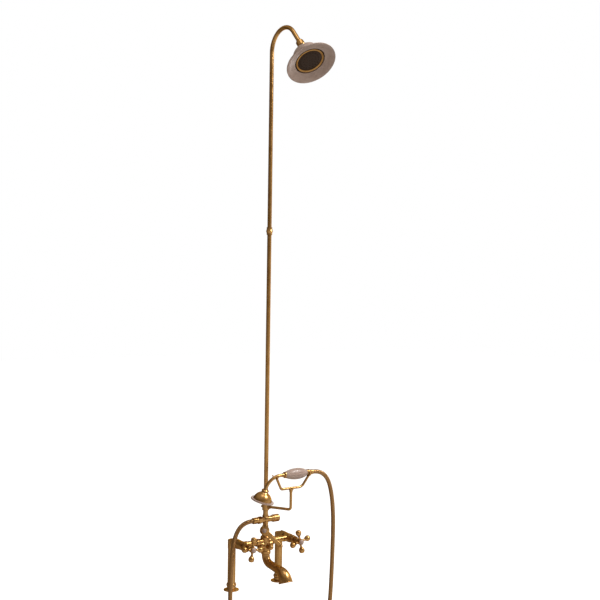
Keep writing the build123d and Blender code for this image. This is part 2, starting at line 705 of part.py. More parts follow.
# Tee with the hose nut on the left and the outlet knob on the right
def tee():
    centre = riser_point(TEE_HEIGHT)
    upright = put(rod(COLUMN_RADIUS, TEE_DROP + TEE_RISE), centre - UP * TEE_DROP)
    body = put(Sphere(TEE_RADIUS), centre) & put(rod(TEE_RADIUS, TEE_DROP + TEE_RISE), centre - UP * TEE_DROP)
    body += upright
    body += put(rod(TEE_NECK_RADIUS, TEE_LEFT_REACH), centre, -RIGHT)
    body += put(rod(TEE_NECK_RADIUS, TEE_RIGHT_REACH), centre, RIGHT)
    body -= put(rod(WATERWAY, TEE_DROP + TEE_RISE), centre - UP * TEE_DROP)
    body -= put(rod(WATERWAY, TEE_LEFT_REACH), centre, -RIGHT)
    body -= put(rod(SPINDLE_RADIUS + FIT, TEE_RIGHT_REACH), centre, RIGHT)
    save("tee_body", body)
    nut = hex_nut(HOSE_NUT_FLATS, WATERWAY, HOSE_NUT_HEX_LENGTH)
    sleeve = turned([(HOSE_SLEEVE_RADIUS, HOSE_NUT_HEX_LENGTH),
                     (HOSE_SLEEVE_RADIUS, HOSE_NUT_LENGTH - OVERRUN),
                     (HOSE_SLEEVE_END_RADIUS, HOSE_NUT_LENGTH)], HOSE_RADIUS - EDGE)
    save("hose_outlet_nut", put(nut + sleeve, centre - RIGHT * TEE_LEFT_REACH, -RIGHT))


def knob():
    centre = riser_point(TEE_HEIGHT)
    start = TEE_RIGHT_REACH + SEAT_GAP
    step = KNOB_LENGTH / 6
    body = turned([(KNOB_NECK_RADIUS, 0), (KNOB_NECK_RADIUS, step), (KNOB_RADIUS, step + OVERRUN),
                   (KNOB_RADIUS, KNOB_LENGTH - OVERRUN), (KNOB_RADIUS - OVERRUN, KNOB_LENGTH)])
    body -= rod(SPINDLE_RADIUS + FIT, KNOB_LENGTH / 2)
    save("tee_knob", put(body, centre + RIGHT * start, RIGHT))
    spindle_end = start + KNOB_LENGTH / 2 - FIT
    save("tee_spindle", put(rod(SPINDLE_RADIUS, spindle_end), centre, RIGHT))


# Column union, cradle and riser
def column_union():
    start = TEE_HEIGHT + TEE_RISE
    low = COLUMN_RADIUS
    neck = turned([(low, 0), (low, OVERRUN), (UNION_NECK_RADIUS, 2 * OVERRUN),
                   (UNION_NECK_RADIUS, UNION_NECK_HEIGHT + CRADLE_COLLAR_HEIGHT)], WATERWAY)
    save("column_union", put(neck, riser_point(start)))


def cradle_out():
    """The level direction from the riser to the cradle's post."""
    return Vector(CRADLE_POST_X, RISER_FORWARD - CRADLE_FORWARD, 0).normalized()


def cradle():
    collar = rounded_collar(CRADLE_COLLAR_RADIUS, UNION_NECK_RADIUS + FIT, CRADLE_COLLAR_HEIGHT)
    collar = put(collar, riser_point(CRADLE_COLLAR_BOTTOM))
    level = riser_point(CRADLE_HEIGHT)
    socket_start = UNION_NECK_RADIUS + OVERRUN
    collar += put(rod(CRADLE_BOSS_RADIUS, CRADLE_BOSS_REACH - socket_start),
                  level + cradle_out() * socket_start, cradle_out())
    rod_start = level + cradle_out() * CRADLE_COLLAR_RADIUS
    collar -= put(rod(CRADLE_ROD_RADIUS + FIT, CRADLE_BOSS_REACH), rod_start, cradle_out())
    back = cradle_out() * -1
    collar -= put(rod(CLAMP_SCREW_RADIUS + FIT, CRADLE_COLLAR_RADIUS), level, back)
    save("cradle_collar", collar)
    screw_start = UNION_NECK_RADIUS + FIT
    shank = CRADLE_COLLAR_RADIUS - screw_start + FIT
    screw = rod(CLAMP_SCREW_RADIUS, shank)
    screw += put(rounded_collar(CLAMP_SCREW_HEAD_RADIUS, 0, CLAMP_SCREW_HEAD), (0, 0, shank))
    slot = Box(2 * CLAMP_SCREW_HEAD_RADIUS, EDGE, EDGE * 2)
    screw -= put(slot, (0, 0, shank + CLAMP_SCREW_HEAD))
    save("clamp_screw", put(screw, level + back * screw_start, back))
    corner = Vector(CRADLE_POST_X, -CRADLE_FORWARD, CRADLE_HEIGHT)
    top = Vector(CRADLE_POST_X, -CRADLE_FORWARD, FORK_BAR_HEIGHT - FORK_SOCKET_HEIGHT)
    path = FilletPolyline(rod_start, corner, top, radius=CRADLE_ROD_BEND)
    save("cradle_arm", swept_pipe(path, CRADLE_ROD_RADIUS))


def neck_angle_at(x):
    """How far the handset's neck has turned down at a place on its bend, in radians."""
    return math.asin((NECK_BEND_X - x) / NECK_BEND_RADIUS)


def neck_point(angle):
    """A point on the neck's bend, which hangs turned a little about the grip's axis."""
    roll = math.radians(HANDSET_ROLL)
    drop = NECK_BEND_RADIUS * (1 - math.cos(angle))
    x = NECK_BEND_X - NECK_BEND_RADIUS * math.sin(angle)
    return handset_point(x) - Vector(0, -math.sin(roll), math.cos(roll)) * drop


def neck_direction(angle):
    """The way the neck runs at a place on its bend, towards the bell."""
    roll = math.radians(HANDSET_ROLL)
    down = Vector(0, math.sin(roll), -math.cos(roll))
    return down * math.sin(angle) - RIGHT * math.cos(angle)


def saddle(inner, origin, axis):
    """A half ring, open at its top, that the handset lies in."""
    outer = inner + SADDLE_WALL
    ring = put(pipe(outer, inner, SADDLE_WIDTH), origin - axis * (SADDLE_WIDTH / 2), axis)
    keep = Box(4 * outer, 4 * outer, 2 * outer, align=(Align.CENTER, Align.CENTER, Align.MAX))
    return ring & put(keep, origin, axis.cross(FRONT) * (-1 if axis.X > 0 else 1))


def cradle_fork():
    left_angle = neck_angle_at(SADDLE_LEFT_X)
    left_axis = neck_direction(left_angle)
    left_inner = NECK_PIPE_RADIUS + SEAT_GAP
    right_inner = TAIL_BEAD_RADIUS + SEAT_GAP
    left_seat = neck_point(left_angle)
    right_seat = Vector(SADDLE_RIGHT_X, -CRADLE_FORWARD, HANDSET_HEIGHT)
    left_top = left_seat - UP * (left_inner + SADDLE_WALL / 2)
    right_top = right_seat - UP * (right_inner + SADDLE_WALL / 2)
    bar = [Vector(x, -CRADLE_FORWARD, FORK_BAR_HEIGHT) for x in (FORK_LEFT_X, FORK_RIGHT_X)]
    path = FilletPolyline(left_top, *bar, right_top, radius=[FORK_LEFT_BEND, FORK_RIGHT_BEND])
    fork = swept_pipe(path, FORK_ROD_RADIUS)
    bottom = FORK_BAR_HEIGHT - FORK_SOCKET_HEIGHT
    share = FORK_SOCKET_RADIUS / 2
    fork += put(turned([(CRADLE_ROD_RADIUS + EDGE, 0), (share + EDGE, FORK_SOCKET_HEIGHT / 3),
                        (FORK_SOCKET_RADIUS, FORK_SOCKET_HEIGHT * 3 / 4),
                        (FORK_SOCKET_RADIUS, FORK_SOCKET_HEIGHT),
                        (share, FORK_SOCKET_HEIGHT + OVERRUN)]),
                Vector(CRADLE_POST_X, -CRADLE_FORWARD, bottom))
    fork -= put(rod(left_inner, 2 * SADDLE_WIDTH), left_seat - left_axis * SADDLE_WIDTH, left_axis)
    fork -= put(rod(right_inner, 2 * SADDLE_WIDTH), right_seat - RIGHT * SADDLE_WIDTH, RIGHT)
    fork += saddle(left_inner, left_seat, left_axis)
    fork += saddle(right_inner, right_seat, RIGHT)
    save("cradle_fork", fork)


def riser():
    start = CRADLE_COLLAR_BOTTOM + CRADLE_COLLAR_HEIGHT
    bore = RISER_RADIUS - RISER_WALL
    save("riser_nut", put(hex_nut(RISER_NUT_FLATS, RISER_RADIUS + FIT, RISER_NUT_HEIGHT), riser_point(start)))
    save("riser_lower", put(pipe(RISER_RADIUS, bore, COUPLING_HEIGHT - start), riser_point(start)))
    coupling = turned(
        [(COUPLING_END_RADIUS, 0), (COUPLING_END_RADIUS, COUPLING_LENGTH / 5),
         (COUPLING_RADIUS - EDGE, COUPLING_LENGTH * 2 / 5), (COUPLING_RADIUS, COUPLING_LENGTH / 2),
         (COUPLING_RADIUS - EDGE, COUPLING_LENGTH * 3 / 5), (COUPLING_END_RADIUS, COUPLING_LENGTH * 4 / 5),
         (COUPLING_END_RADIUS, COUPLING_LENGTH)], RISER_RADIUS + FIT)
    save("riser_coupling", put(coupling, riser_point(COUPLING_HEIGHT - COUPLING_LENGTH / 2)))
    straight = Line(riser_point(COUPLING_HEIGHT), riser_point(GOOSENECK_HEIGHT))
    bend = ThreePointArc(gooseneck_point(0), gooseneck_point(GOOSENECK_TURN / 2),
                         gooseneck_point(GOOSENECK_TURN))
    run = Line(gooseneck_point(GOOSENECK_TURN), arm_point(0))
    path = Wire([straight.edge(), bend.edge(), run.edge()])
    save("riser_upper", swept_pipe(path, RISER_RADIUS, bore))


# Shower head
def gooseneck_point(turn):
    """A point on the gooseneck's bend, some degrees after it leaves the riser."""
    angle = math.radians(turn)
    centre = riser_point(GOOSENECK_HEIGHT) + FRONT * GOOSENECK_RADIUS
    return centre - (FRONT * math.cos(angle) - UP * math.sin(angle)) * GOOSENECK_RADIUS


def arm_out():
    """The direction in which the arm's end, and the shower head at rest, point."""
    turn = math.radians(GOOSENECK_TURN)
    return Vector(0, -math.sin(turn), math.cos(turn))


def head_out():
    """The way the shower head faces: the arm's direction, tilted down a little on the ball."""
    turn = math.radians(GOOSENECK_TURN + HEAD_TILT)
    return Vector(0, -math.sin(turn), math.cos(turn))


def head_point(forward):
    """A point on the head's axis, where forward is counted through the ball from the pipe's end."""
    return arm_point(BALL_FORWARD) + head_out() * (forward - BALL_FORWARD)


def arm_point(reach):
    """A point on the arm's last straight, measured from its open end."""
    return gooseneck_point(GOOSENECK_TURN) + arm_out() * (GOOSENECK_RUN + reach)


def ball_joint():
    cavity = BALL_RADIUS + SEAT_RING_THICKNESS + 2 * FIT
    ball_at = BALL_NUT_OVERLAP + BALL_FORWARD
    nut = turned([(RISER_RADIUS + SEAT_RING_THICKNESS, 0), (BALL_NUT_RADIUS, BALL_NUT_OVERLAP),
                  (BALL_NUT_RADIUS, BALL_NUT_LENGTH - STEM_RADIUS), (cavity - EDGE, BALL_NUT_LENGTH)])
    nut -= rod(RISER_RADIUS + FIT, BALL_NUT_OVERLAP)
    nut -= rod(WATERWAY, ball_at)
    nut -= put(Sphere(cavity), (0, 0, ball_at))
    save("ball_nut", put(nut, arm_point(-BALL_NUT_OVERLAP), arm_out()))
    ring = Sphere(cavity - FIT) - Sphere(BALL_RADIUS + FIT)
    ring &= Box(2 * cavity, 2 * cavity, SEAT_RING_WIDTH)
    save("ball_seat_ring", put(ring, arm_point(BALL_FORWARD), arm_out()))
    stem = Sphere(BALL_RADIUS) + rod(STEM_RADIUS, STEM_END - BALL_FORWARD)
    flange = turned([(STEM_RADIUS, 0), (STEM_FLANGE_RADIUS, STEM_FLANGE_THICKNESS / 2),
                     (STEM_FLANGE_RADIUS, STEM_FLANGE_THICKNESS)])
    stem += put(flange, (0, 0, STEM_FLANGE_FORWARD - BALL_FORWARD - STEM_FLANGE_THICKNESS))
    stem -= put(rod(STEM_BORE, STEM_END + BALL_RADIUS), (0, 0, -BALL_RADIUS))
    save("ball_stem", put(stem, arm_point(BALL_FORWARD), head_out()))


def shower_head():
    back = scaled(HEAD_BACK_SHARES, HEAD_RADIUS, HEAD_DEPTH)
    front = scaled(HEAD_FRONT_SHARES, HEAD_RADIUS, HEAD_DEPTH)
    face_edge = front[-1]
    inside = [(radius - HEAD_WALL, height + HEAD_WALL / 2) for radius, height in back[:4]]
    outer_curve = Spline(*[Vector(r, 0, z) for r, z in back])
    front_curve = Spline(*[Vector(r, 0, z) for r, z in front])
    inner_curve = Spline(*[Vector(r, 0, z) for r, z in reversed(inside)])
    rim = Line(outer_curve @ 1, front_curve @ 0)
    step = Polyline(front_curve @ 1, (face_edge[0], 0, inside[-1][1]), inner_curve @ 0)
    hole = STEM_RADIUS + FIT
    neck = Polyline(inner_curve @ 1, (hole, 0, inside[0][1]), (hole, 0, 0), outer_curve @ 0)
    edges = outer_curve.edges() + rim.edges() + front_curve.edges() + step.edges()
    edges += inner_curve.edges() + neck.edges()
    shell = revolve(make_face(edges), Axis.Z)
    at = head_point(STEM_FLANGE_FORWARD)
    save("head_shell", put(shell, at, head_out()))
    bezel_outer = face_edge[0] - FIT
    plate_at = HEAD_FACE_DEPTH - BEZEL_THICKNESS
    bezel = turned([(bezel_outer, 0), (bezel_outer, BEZEL_THICKNESS / 2),
                    ((bezel_outer + BEZEL_INNER_RADIUS) / 2, BEZEL_THICKNESS),
                    (BEZEL_INNER_RADIUS, BEZEL_THICKNESS - EDGE)], BEZEL_INNER_RADIUS - PLATE_LAND)
    plate_radius = BEZEL_INNER_RADIUS + PLATE_LAND
    bezel -= rod(plate_radius + FIT, PLATE_THICKNESS)
    save("head_bezel", put(bezel, at + head_out() * plate_at, head_out()))
    plate = sprayed(rod(plate_radius, PLATE_THICKNESS), NOZZLE_RINGS, NOZZLE_PITCH,
                    NOZZLE_RADIUS, PLATE_THICKNESS)
    save("head_plate", put(plate, at + head_out() * plate_at, head_out()))


# Handset
def handset_point(x):
    return Vector(x, -CRADLE_FORWARD, HANDSET_HEIGHT)


def handset_grip():
    grip_end = GRIP_START_X + GRIP_LENGTH
    swell = GRIP_RADIUS - GRIP_END_RADIUS
    outline = [(GRIP_END_RADIUS + r * swell, z * GRIP_LENGTH) for r, z in GRIP_SHARES]
    save("handset_grip", put(turned(outline, GRIP_BORE, smooth=True), handset_point(GRIP_START_X), RIGHT))
    front = turned([(NECK_PIPE_RADIUS + EDGE, 0), (NECK_PIPE_RADIUS + EDGE, FRONT_FERRULE_LENGTH / 2),
                    (FERRULE_RADIUS, FRONT_FERRULE_LENGTH * 3 / 4), (FERRULE_RADIUS, FRONT_FERRULE_LENGTH)],
                   GRIP_BORE)
    save("front_ferrule", put(front, handset_point(GRIP_START_X - FRONT_FERRULE_LENGTH), RIGHT))
    rear = turned([(FERRULE_RADIUS, 0), (FERRULE_RADIUS, REAR_FERRULE_LENGTH / 2),
                   (TAIL_NUT_RADIUS, REAR_FERRULE_LENGTH)], GRIP_BORE)
    save("rear_ferrule", put(rear, handset_point(grip_end), RIGHT))
    tube_start = GRIP_START_X - FRONT_FERRULE_LENGTH
    tube_end = grip_end + REAR_FERRULE_LENGTH
    tube = pipe(WATER_TUBE_RADIUS, WATER_TUBE_BORE, tube_end - tube_start)
    save("handset_tube", put(tube, handset_point(tube_start), RIGHT))
    bead_reach = math.sqrt(TAIL_BEAD_RADIUS ** 2 - TAIL_NUT_RADIUS ** 2)
    bead_at = SADDLE_RIGHT_X - tube_end
    tail_length = HOSE_START_X - tube_end
    tail = rod(TAIL_NUT_RADIUS - EDGE, tail_length)
    tail += put(Sphere(TAIL_BEAD_RADIUS), (0, 0, bead_at)) & rod(TAIL_BEAD_RADIUS, tail_length)
    nut_at = bead_at + bead_reach + OVERRUN
    tail += put(rounded_collar(TAIL_NUT_RADIUS, 0, tail_length - nut_at), (0, 0, nut_at))
    tail -= rod(WATER_TUBE_BORE, tail_length)
    save("hose_tail_nut", put(tail, handset_point(tube_end), RIGHT))


def neck_end():
    return neck_point(math.radians(NECK_BEND_TURN))


def neck_out():
    return neck_direction(math.radians(NECK_BEND_TURN))


def handset_neck():
    ferrule_start = handset_point(GRIP_START_X - FRONT_FERRULE_LENGTH)
    straight = Line(ferrule_start, handset_point(NECK_BEND_X))
    middle = neck_point(math.radians(NECK_BEND_TURN / 2))
    bend = ThreePointArc(handset_point(NECK_BEND_X), middle, neck_end())
    path = Wire([straight.edge(), bend.edge()])
    neck = swept_pipe(path, NECK_PIPE_RADIUS)
    spur_angle = math.radians(SPUR_TURN)
    spur_out = neck_direction(spur_angle - math.pi / 2)
    spur_start = neck_point(spur_angle) + spur_out * (NECK_PIPE_RADIUS / 2)
    neck += put(rod(SPUR_RADIUS, SPUR_LENGTH - NECK_PIPE_RADIUS / 2), spur_start, spur_out)
    neck += put(Sphere(SPUR_BALL_RADIUS), neck_point(spur_angle) + spur_out * SPUR_LENGTH)
    neck -= swept_pipe(path, WATER_TUBE_BORE)
    save("handset_neck", neck)


def handset_bell():
    back = scaled(BELL_BACK_SHARES, BELL_RADIUS, BELL_DEPTH)
    inside = [(radius - BELL_WALL, height + BELL_WALL / 2) for radius, height in back[1:-1]]
    inside.append((BELL_RADIUS - BELL_WALL, BELL_DEPTH))
    outer_curve = Spline(*[Vector(r, 0, z) for r, z in back])
    inner_curve = Spline(*[Vector(r, 0, z) for r, z in reversed(inside)])
    edge = Line(outer_curve @ 1, inner_curve @ 0)
    waist = back[0][0]
    neck = Polyline(inner_curve @ 1, (WATER_TUBE_BORE, 0, inside[0][1]), (WATER_TUBE_BORE, 0, 0),
                    (waist, 0, 0), outer_curve @ 0)
    edges = outer_curve.edges() + edge.edges() + inner_curve.edges() + neck.edges()
    bell = revolve(make_face(edges), Axis.Z)
    bell += turned([(waist, 0), (BELL_COLLAR_RADIUS, BELL_COLLAR_LENGTH / 3),
                    (BELL_COLLAR_RADIUS, BELL_COLLAR_LENGTH * 2 / 3), (waist, BELL_COLLAR_LENGTH)],
                   WATER_TUBE_BORE)
    save("handset_bell", put(bell, neck_end(), neck_out()))
    rim_inner = RIM_RADIUS - RIM_WIDTH
    rim = turned([(RIM_RADIUS - EDGE, 0), (RIM_RADIUS, RIM_DEPTH / 2), (RIM_RADIUS - EDGE, RIM_DEPTH),
                  (rim_inner + EDGE, RIM_DEPTH), (rim_inner, RIM_DEPTH - EDGE)], rim_inner)
    rim_at = neck_end() + neck_out() * BELL_DEPTH
    save("handset_rim", put(rim, rim_at, neck_out()))
    spray_radius = rim_inner - FIT
    spray = sprayed(rod(spray_radius, SPRAY_THICKNESS), SPRAY_RINGS, SPRAY_PITCH, NOZZLE_RADIUS,
                    SPRAY_THICKNESS)
    spray_at = rim_at + neck_out() * (RIM_DEPTH - SPRAY_RECESS - SPRAY_THICKNESS)
    save("handset_spray", put(spray, spray_at, neck_out()))


# Hose
def hose_points():
    """The hose's route: its first and last runs stay with the tee's nut and the handset's nut."""
    points = [Vector(*point) for point in HOSE_ROUTE]
    start_shift = riser_point(TEE_HEIGHT) - RIGHT * (TEE_LEFT_REACH + HOSE_NUT_LENGTH) - points[0]
    end_shift = handset_point(HOSE_START_X) - points[-1]
    between = len(points) - 3
    moved = []
    for place, point in enumerate(points):
        share = min(1, max(0, (place - 1) / between))
        moved.append(point + start_shift * (1 - share) + end_shift * share)
    return moved


def hose():
    points = hose_points()
    runs = [b - a for a, b in zip(points, points[1:])]
    radii = []
    for before, after in zip(runs, runs[1:]):
        half_turn = math.radians(before.get_angle(after)) / 2
        radii.append(ARC_SHARE * min(before.length, after.length) / math.tan(half_turn))
    path = FilletPolyline(*points, radius=radii)
    solid = swept_pipe(path, HOSE_RADIUS)
    section = math.pi * HOSE_RADIUS ** 2
    print("hose bend radii:", " ".join(f"{radius:.0f}" for radius in radii))
    print(f"hose length {path.length:.0f}, volume {solid.volume:.0f}, section x length {section * path.length:.0f}")
    save("hose", solid)


legs_and_flanges()
taps()
handles()
cross_tubes()
mixer_body()
spout()
lower_column()
diverter()
tee()
knob()
column_union()
cradle()
cradle_fork()
riser()
ball_joint()
shower_head()
handset_grip()
handset_neck()
handset_bell()
hose()
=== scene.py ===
"""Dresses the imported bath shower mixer: brass, porcelain and metal hose, with camera and studio light."""

import json
import logging
import math
from collections.abc import Sequence
from dataclasses import dataclass
from enum import Enum

import bmesh
import bpy
from mathutils import Matrix, Vector

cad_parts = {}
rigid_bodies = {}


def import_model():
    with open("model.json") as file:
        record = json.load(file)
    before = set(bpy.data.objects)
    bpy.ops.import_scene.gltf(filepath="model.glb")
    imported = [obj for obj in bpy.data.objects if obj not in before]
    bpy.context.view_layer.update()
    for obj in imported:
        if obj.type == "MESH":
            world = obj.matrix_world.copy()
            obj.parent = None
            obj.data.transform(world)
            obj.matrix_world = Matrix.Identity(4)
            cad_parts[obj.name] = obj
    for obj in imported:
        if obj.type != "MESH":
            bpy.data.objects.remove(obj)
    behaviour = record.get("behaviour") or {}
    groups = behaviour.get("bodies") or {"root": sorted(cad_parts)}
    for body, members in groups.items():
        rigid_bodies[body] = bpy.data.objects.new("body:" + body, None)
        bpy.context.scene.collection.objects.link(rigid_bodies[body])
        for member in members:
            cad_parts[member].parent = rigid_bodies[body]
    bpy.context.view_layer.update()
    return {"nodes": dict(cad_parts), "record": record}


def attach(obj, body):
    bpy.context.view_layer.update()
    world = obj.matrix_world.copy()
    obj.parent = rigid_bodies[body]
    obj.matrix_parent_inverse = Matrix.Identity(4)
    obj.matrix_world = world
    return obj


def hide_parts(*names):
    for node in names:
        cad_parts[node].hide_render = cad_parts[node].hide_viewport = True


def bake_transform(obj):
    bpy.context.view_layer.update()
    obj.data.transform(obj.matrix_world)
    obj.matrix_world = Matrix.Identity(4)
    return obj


LOG = logging.getLogger("bath_shower_mixer")
MM = 0.001
WELD_MM = 0.001
STUD_STEPS = 10
IMAGE_SIDE = 600
SENSOR_WIDTH = 36.0
CLIP_RANGE = (0.05, 60.0)
WHITE = "#FFFFFF"
BLACK = "#000000"

# Most of a noise texture's values lie between these two
NOISE_LOW = 0.3
NOISE_HIGH = 0.7

Outline = Sequence[tuple[float, float]]
Place = tuple[float, float, float]
Tones = Sequence[tuple[float, str]]


class Slot(Enum):
    """The record's material slots."""

    BRASS = "brass"
    HOSE = "hose"
    PORCELAIN = "porcelain"
    CERAMIC = "ceramic"
    SPRAY_PLATE = "spray_plate"
    RUBBER = "rubber"


class Body(Enum):
    """The bodies of the mixer that carry this script's own pieces."""

    ROOT = "root"
    SHOWER_HEAD = "shower_head"
    HANDSET = "handset"


def linear(hex_colour: str) -> tuple[float, float, float, float]:
    """Turns an sRGB hex colour into Blender's linear colour.

    Args:
        hex_colour: six hex digits after a hash.

    Returns:
        Red, green, blue and alpha, linear.
    """
    parts = [int(hex_colour[i : i + 2], 16) / 255 for i in (1, 3, 5)]
    red, green, blue = (p / 12.92 if p <= 0.04045 else ((p + 0.055) / 1.055) ** 2.4 for p in parts)
    return red, green, blue, 1.0


def add_node(
    tree: bpy.types.NodeTree, kind: str, settings: dict | None = None, stops: Tones = (), **inputs: object
) -> bpy.types.Node:
    """Adds one shader node with its settings and links.

    Args:
        tree: the material's or world's node tree.
        kind: Blender's node type.
        settings: the node's own properties.
        stops: a colour ramp's places, from 0 to 1, with their hex colours.
        **inputs: socket values or output sockets; underscores stand for spaces, and a number
            after a leading "at_" picks the socket by its place.

    Returns:
        The new node.
    """
    node = tree.nodes.new(kind)
    for key, value in (settings or {}).items():
        setattr(node, key, value)
    for place, _ in stops[2:]:
        node.color_ramp.elements.new(place)
    if stops:
        for element, (place, colour) in zip(node.color_ramp.elements, stops):
            element.position = place
            element.color = linear(colour)
    for key, value in inputs.items():
        socket = node.inputs[int(key[3:])] if key.startswith("at_") else node.inputs[key.replace("_", " ")]
        if isinstance(value, bpy.types.NodeSocket):
            tree.links.new(value, socket)
        else:
            socket.default_value = value
    return node


def seen_or_mirrored(tree: bpy.types.NodeTree) -> bpy.types.NodeSocket:
    """Tells the rays that show a surface from the rays that it only lights.

    Args:
        tree: the material's or world's node tree.

    Returns:
        A socket that is 1 for camera, glossy and transmission rays, and 0 for others.
    """
    ray = add_node(tree, "ShaderNodeLightPath")
    mirrored = add_node(
        tree, "ShaderNodeMath", {"operation": "MAXIMUM"},
        at_0=ray.outputs["Is Glossy Ray"], at_1=ray.outputs["Is Transmission Ray"],
    )
    seen = add_node(
        tree, "ShaderNodeMath", {"operation": "MAXIMUM"},
        at_0=ray.outputs["Is Camera Ray"], at_1=mirrored.outputs["Value"],
    )
    return seen.outputs["Value"]


def fresh_material(name: str) -> tuple[bpy.types.Material, bpy.types.NodeTree]:
    """Makes a material with no nodes yet.

    Args:
        name: the finish's name.

    Returns:
        The material and its node tree.
    """
    material = bpy.data.materials.new(name)
    material.use_nodes = True
    material.node_tree.nodes.clear()
    return material, material.node_tree


@dataclass(frozen=True)
class PolishedBrass:
    """Cast and turned brass, hand-buffed to a satin gloss: a warm brown gold, with painted shade and tarnish
    darkening its corners.
    """

    name: str = "hand_buffed_brass"
    bright: str = "#C49A63"
    deep: str = "#B3874F"
    # Dark brown mixed into corners and recesses: partly tarnish, partly painted shade
    tarnish_and_painted_shade: str = "#4E3016"
    edge: str = "#C9A57C"
    roughness: tuple[float, float] = (0.23, 0.34)
    cloud_mm: float = 34.0
    deep_place: float = 0.30
    bright_place: float = 0.68
    recess_mm: float = 7.0
    recess_range: tuple[float, float] = (0.30, 0.92)
    recess_tarnish_and_painted_shade: float = 0.80
    # Real buffing marks are finer: these are as coarse as they need to be to show
    buff_mm: float = 1.6
    buff_share: float = 0.3
    buff_strength: float = 0.35
    bump_mm: float = 0.0015
    edge_mm: float = 0.45

    def material(self) -> bpy.types.Material:
        """Builds the finish's nodes.

        Returns:
            The material.
        """
        material, tree = fresh_material(self.name)
        place = add_node(tree, "ShaderNodeTexCoord").outputs["Object"]
        clouds = add_node(
            tree, "ShaderNodeTexNoise",
            Vector=place, Scale=1 / (self.cloud_mm * MM), Detail=3.0, Roughness=0.6,
        )
        tone = add_node(
            tree, "ShaderNodeValToRGB", Fac=clouds.outputs["Fac"],
            stops=((self.deep_place, self.deep), (self.bright_place, self.bright)),
        )
        # Painted shade with tarnish: where ambient occlusion finds corners and recesses, the colour is mixed
        # towards the dark brown, partly for real tarnish and partly for the shade that falls there
        recess = add_node(
            tree, "ShaderNodeAmbientOcclusion", {"samples": 6, "only_local": False},
            Distance=self.recess_mm * MM,
        )
        depth = add_node(
            tree, "ShaderNodeMapRange", Value=recess.outputs["AO"],
            From_Min=self.recess_range[0], From_Max=self.recess_range[1],
            To_Min=self.recess_tarnish_and_painted_shade, To_Max=0.0,
        )
        colour = add_node(
            tree, "ShaderNodeMix", {"data_type": "RGBA"},
            at_0=depth.outputs["Result"], at_6=tone.outputs["Color"], at_7=linear(self.tarnish_and_painted_shade),
        )
        buffing = add_node(
            tree, "ShaderNodeTexNoise",
            Vector=place, Scale=1 / (self.buff_mm * MM), Detail=4.0, Roughness=0.65,
        )
        wear = add_node(
            tree, "ShaderNodeMath", {"operation": "MULTIPLY"},
            at_0=clouds.outputs["Fac"], at_1=1 - self.buff_share,
        )
        blend = add_node(
            tree, "ShaderNodeMath", {"operation": "MULTIPLY_ADD"},
            at_0=buffing.outputs["Fac"], at_1=self.buff_share, at_2=wear.outputs["Value"],
        )
        rough = add_node(
            tree, "ShaderNodeMapRange", Value=blend.outputs["Value"], From_Min=NOISE_LOW,
            From_Max=NOISE_HIGH, To_Min=self.roughness[0], To_Max=self.roughness[1],
        )
        rounded = add_node(tree, "ShaderNodeBevel", {"samples": 4}, Radius=self.edge_mm * MM)
        bump = add_node(
            tree, "ShaderNodeBump", Height=buffing.outputs["Fac"], Strength=self.buff_strength,
            Distance=self.bump_mm * MM, Normal=rounded.outputs["Normal"],
        )
        shader = add_node(
            tree, "ShaderNodeBsdfPrincipled", Base_Color=colour.outputs[2], Metallic=1.0,
            Roughness=rough.outputs["Result"], Normal=bump.outputs["Normal"],
            Specular_Tint=linear(self.edge),
        )
        add_node(tree, "ShaderNodeOutputMaterial", Surface=shader.outputs["BSDF"])
        return material


@dataclass(frozen=True)
class GlazedPorcelain:
    """Slip-cast porcelain under a clear glaze: a soft gloss over a faintly uneven, pink-grey body."""

    name: str = "glazed_porcelain"
    body: str = "#AF978A"
    shade: str = "#A1877A"
    roughness: tuple[float, float] = (0.256, 0.448)
    cloud_mm: float = 35.0
    shade_place: float = 0.30
    body_place: float = 0.70
    ripple_mm: float = 9.0
    ripple_strength: float = 0.3
    ripple_height_mm: float = 0.12
    refraction: float = 1.5
    glaze: float = 0.12
    glaze_roughness: float = 0.2

    def material(self) -> bpy.types.Material:
        """Builds the finish's nodes.

        Returns:
            The material.
        """
        material, tree = fresh_material(self.name)
        place = add_node(tree, "ShaderNodeTexCoord").outputs["Object"]
        clouds = add_node(
            tree, "ShaderNodeTexNoise",
            Vector=place, Scale=1 / (self.cloud_mm * MM), Detail=2.0, Roughness=0.5,
        )
        tone = add_node(
            tree, "ShaderNodeValToRGB", Fac=clouds.outputs["Fac"],
            stops=((self.shade_place, self.shade), (self.body_place, self.body)),
        )
        ripple = add_node(
            tree, "ShaderNodeTexNoise",
            Vector=place, Scale=1 / (self.ripple_mm * MM), Detail=1.0, Roughness=0.4,
        )
        bump = add_node(
            tree, "ShaderNodeBump", Height=ripple.outputs["Fac"], Strength=self.ripple_strength,
            Distance=self.ripple_height_mm * MM,
        )
        rough = add_node(
            tree, "ShaderNodeMapRange", Value=ripple.outputs["Fac"], From_Min=NOISE_LOW,
            From_Max=NOISE_HIGH, To_Min=self.roughness[0], To_Max=self.roughness[1],
        )
        shader = add_node(
            tree, "ShaderNodeBsdfPrincipled", Base_Color=tone.outputs["Color"], IOR=self.refraction,
            Roughness=rough.outputs["Result"], Normal=bump.outputs["Normal"],
            Coat_Weight=self.glaze, Coat_Roughness=self.glaze_roughness,
        )
        add_node(tree, "ShaderNodeOutputMaterial", Surface=shader.outputs["BSDF"])
        return material


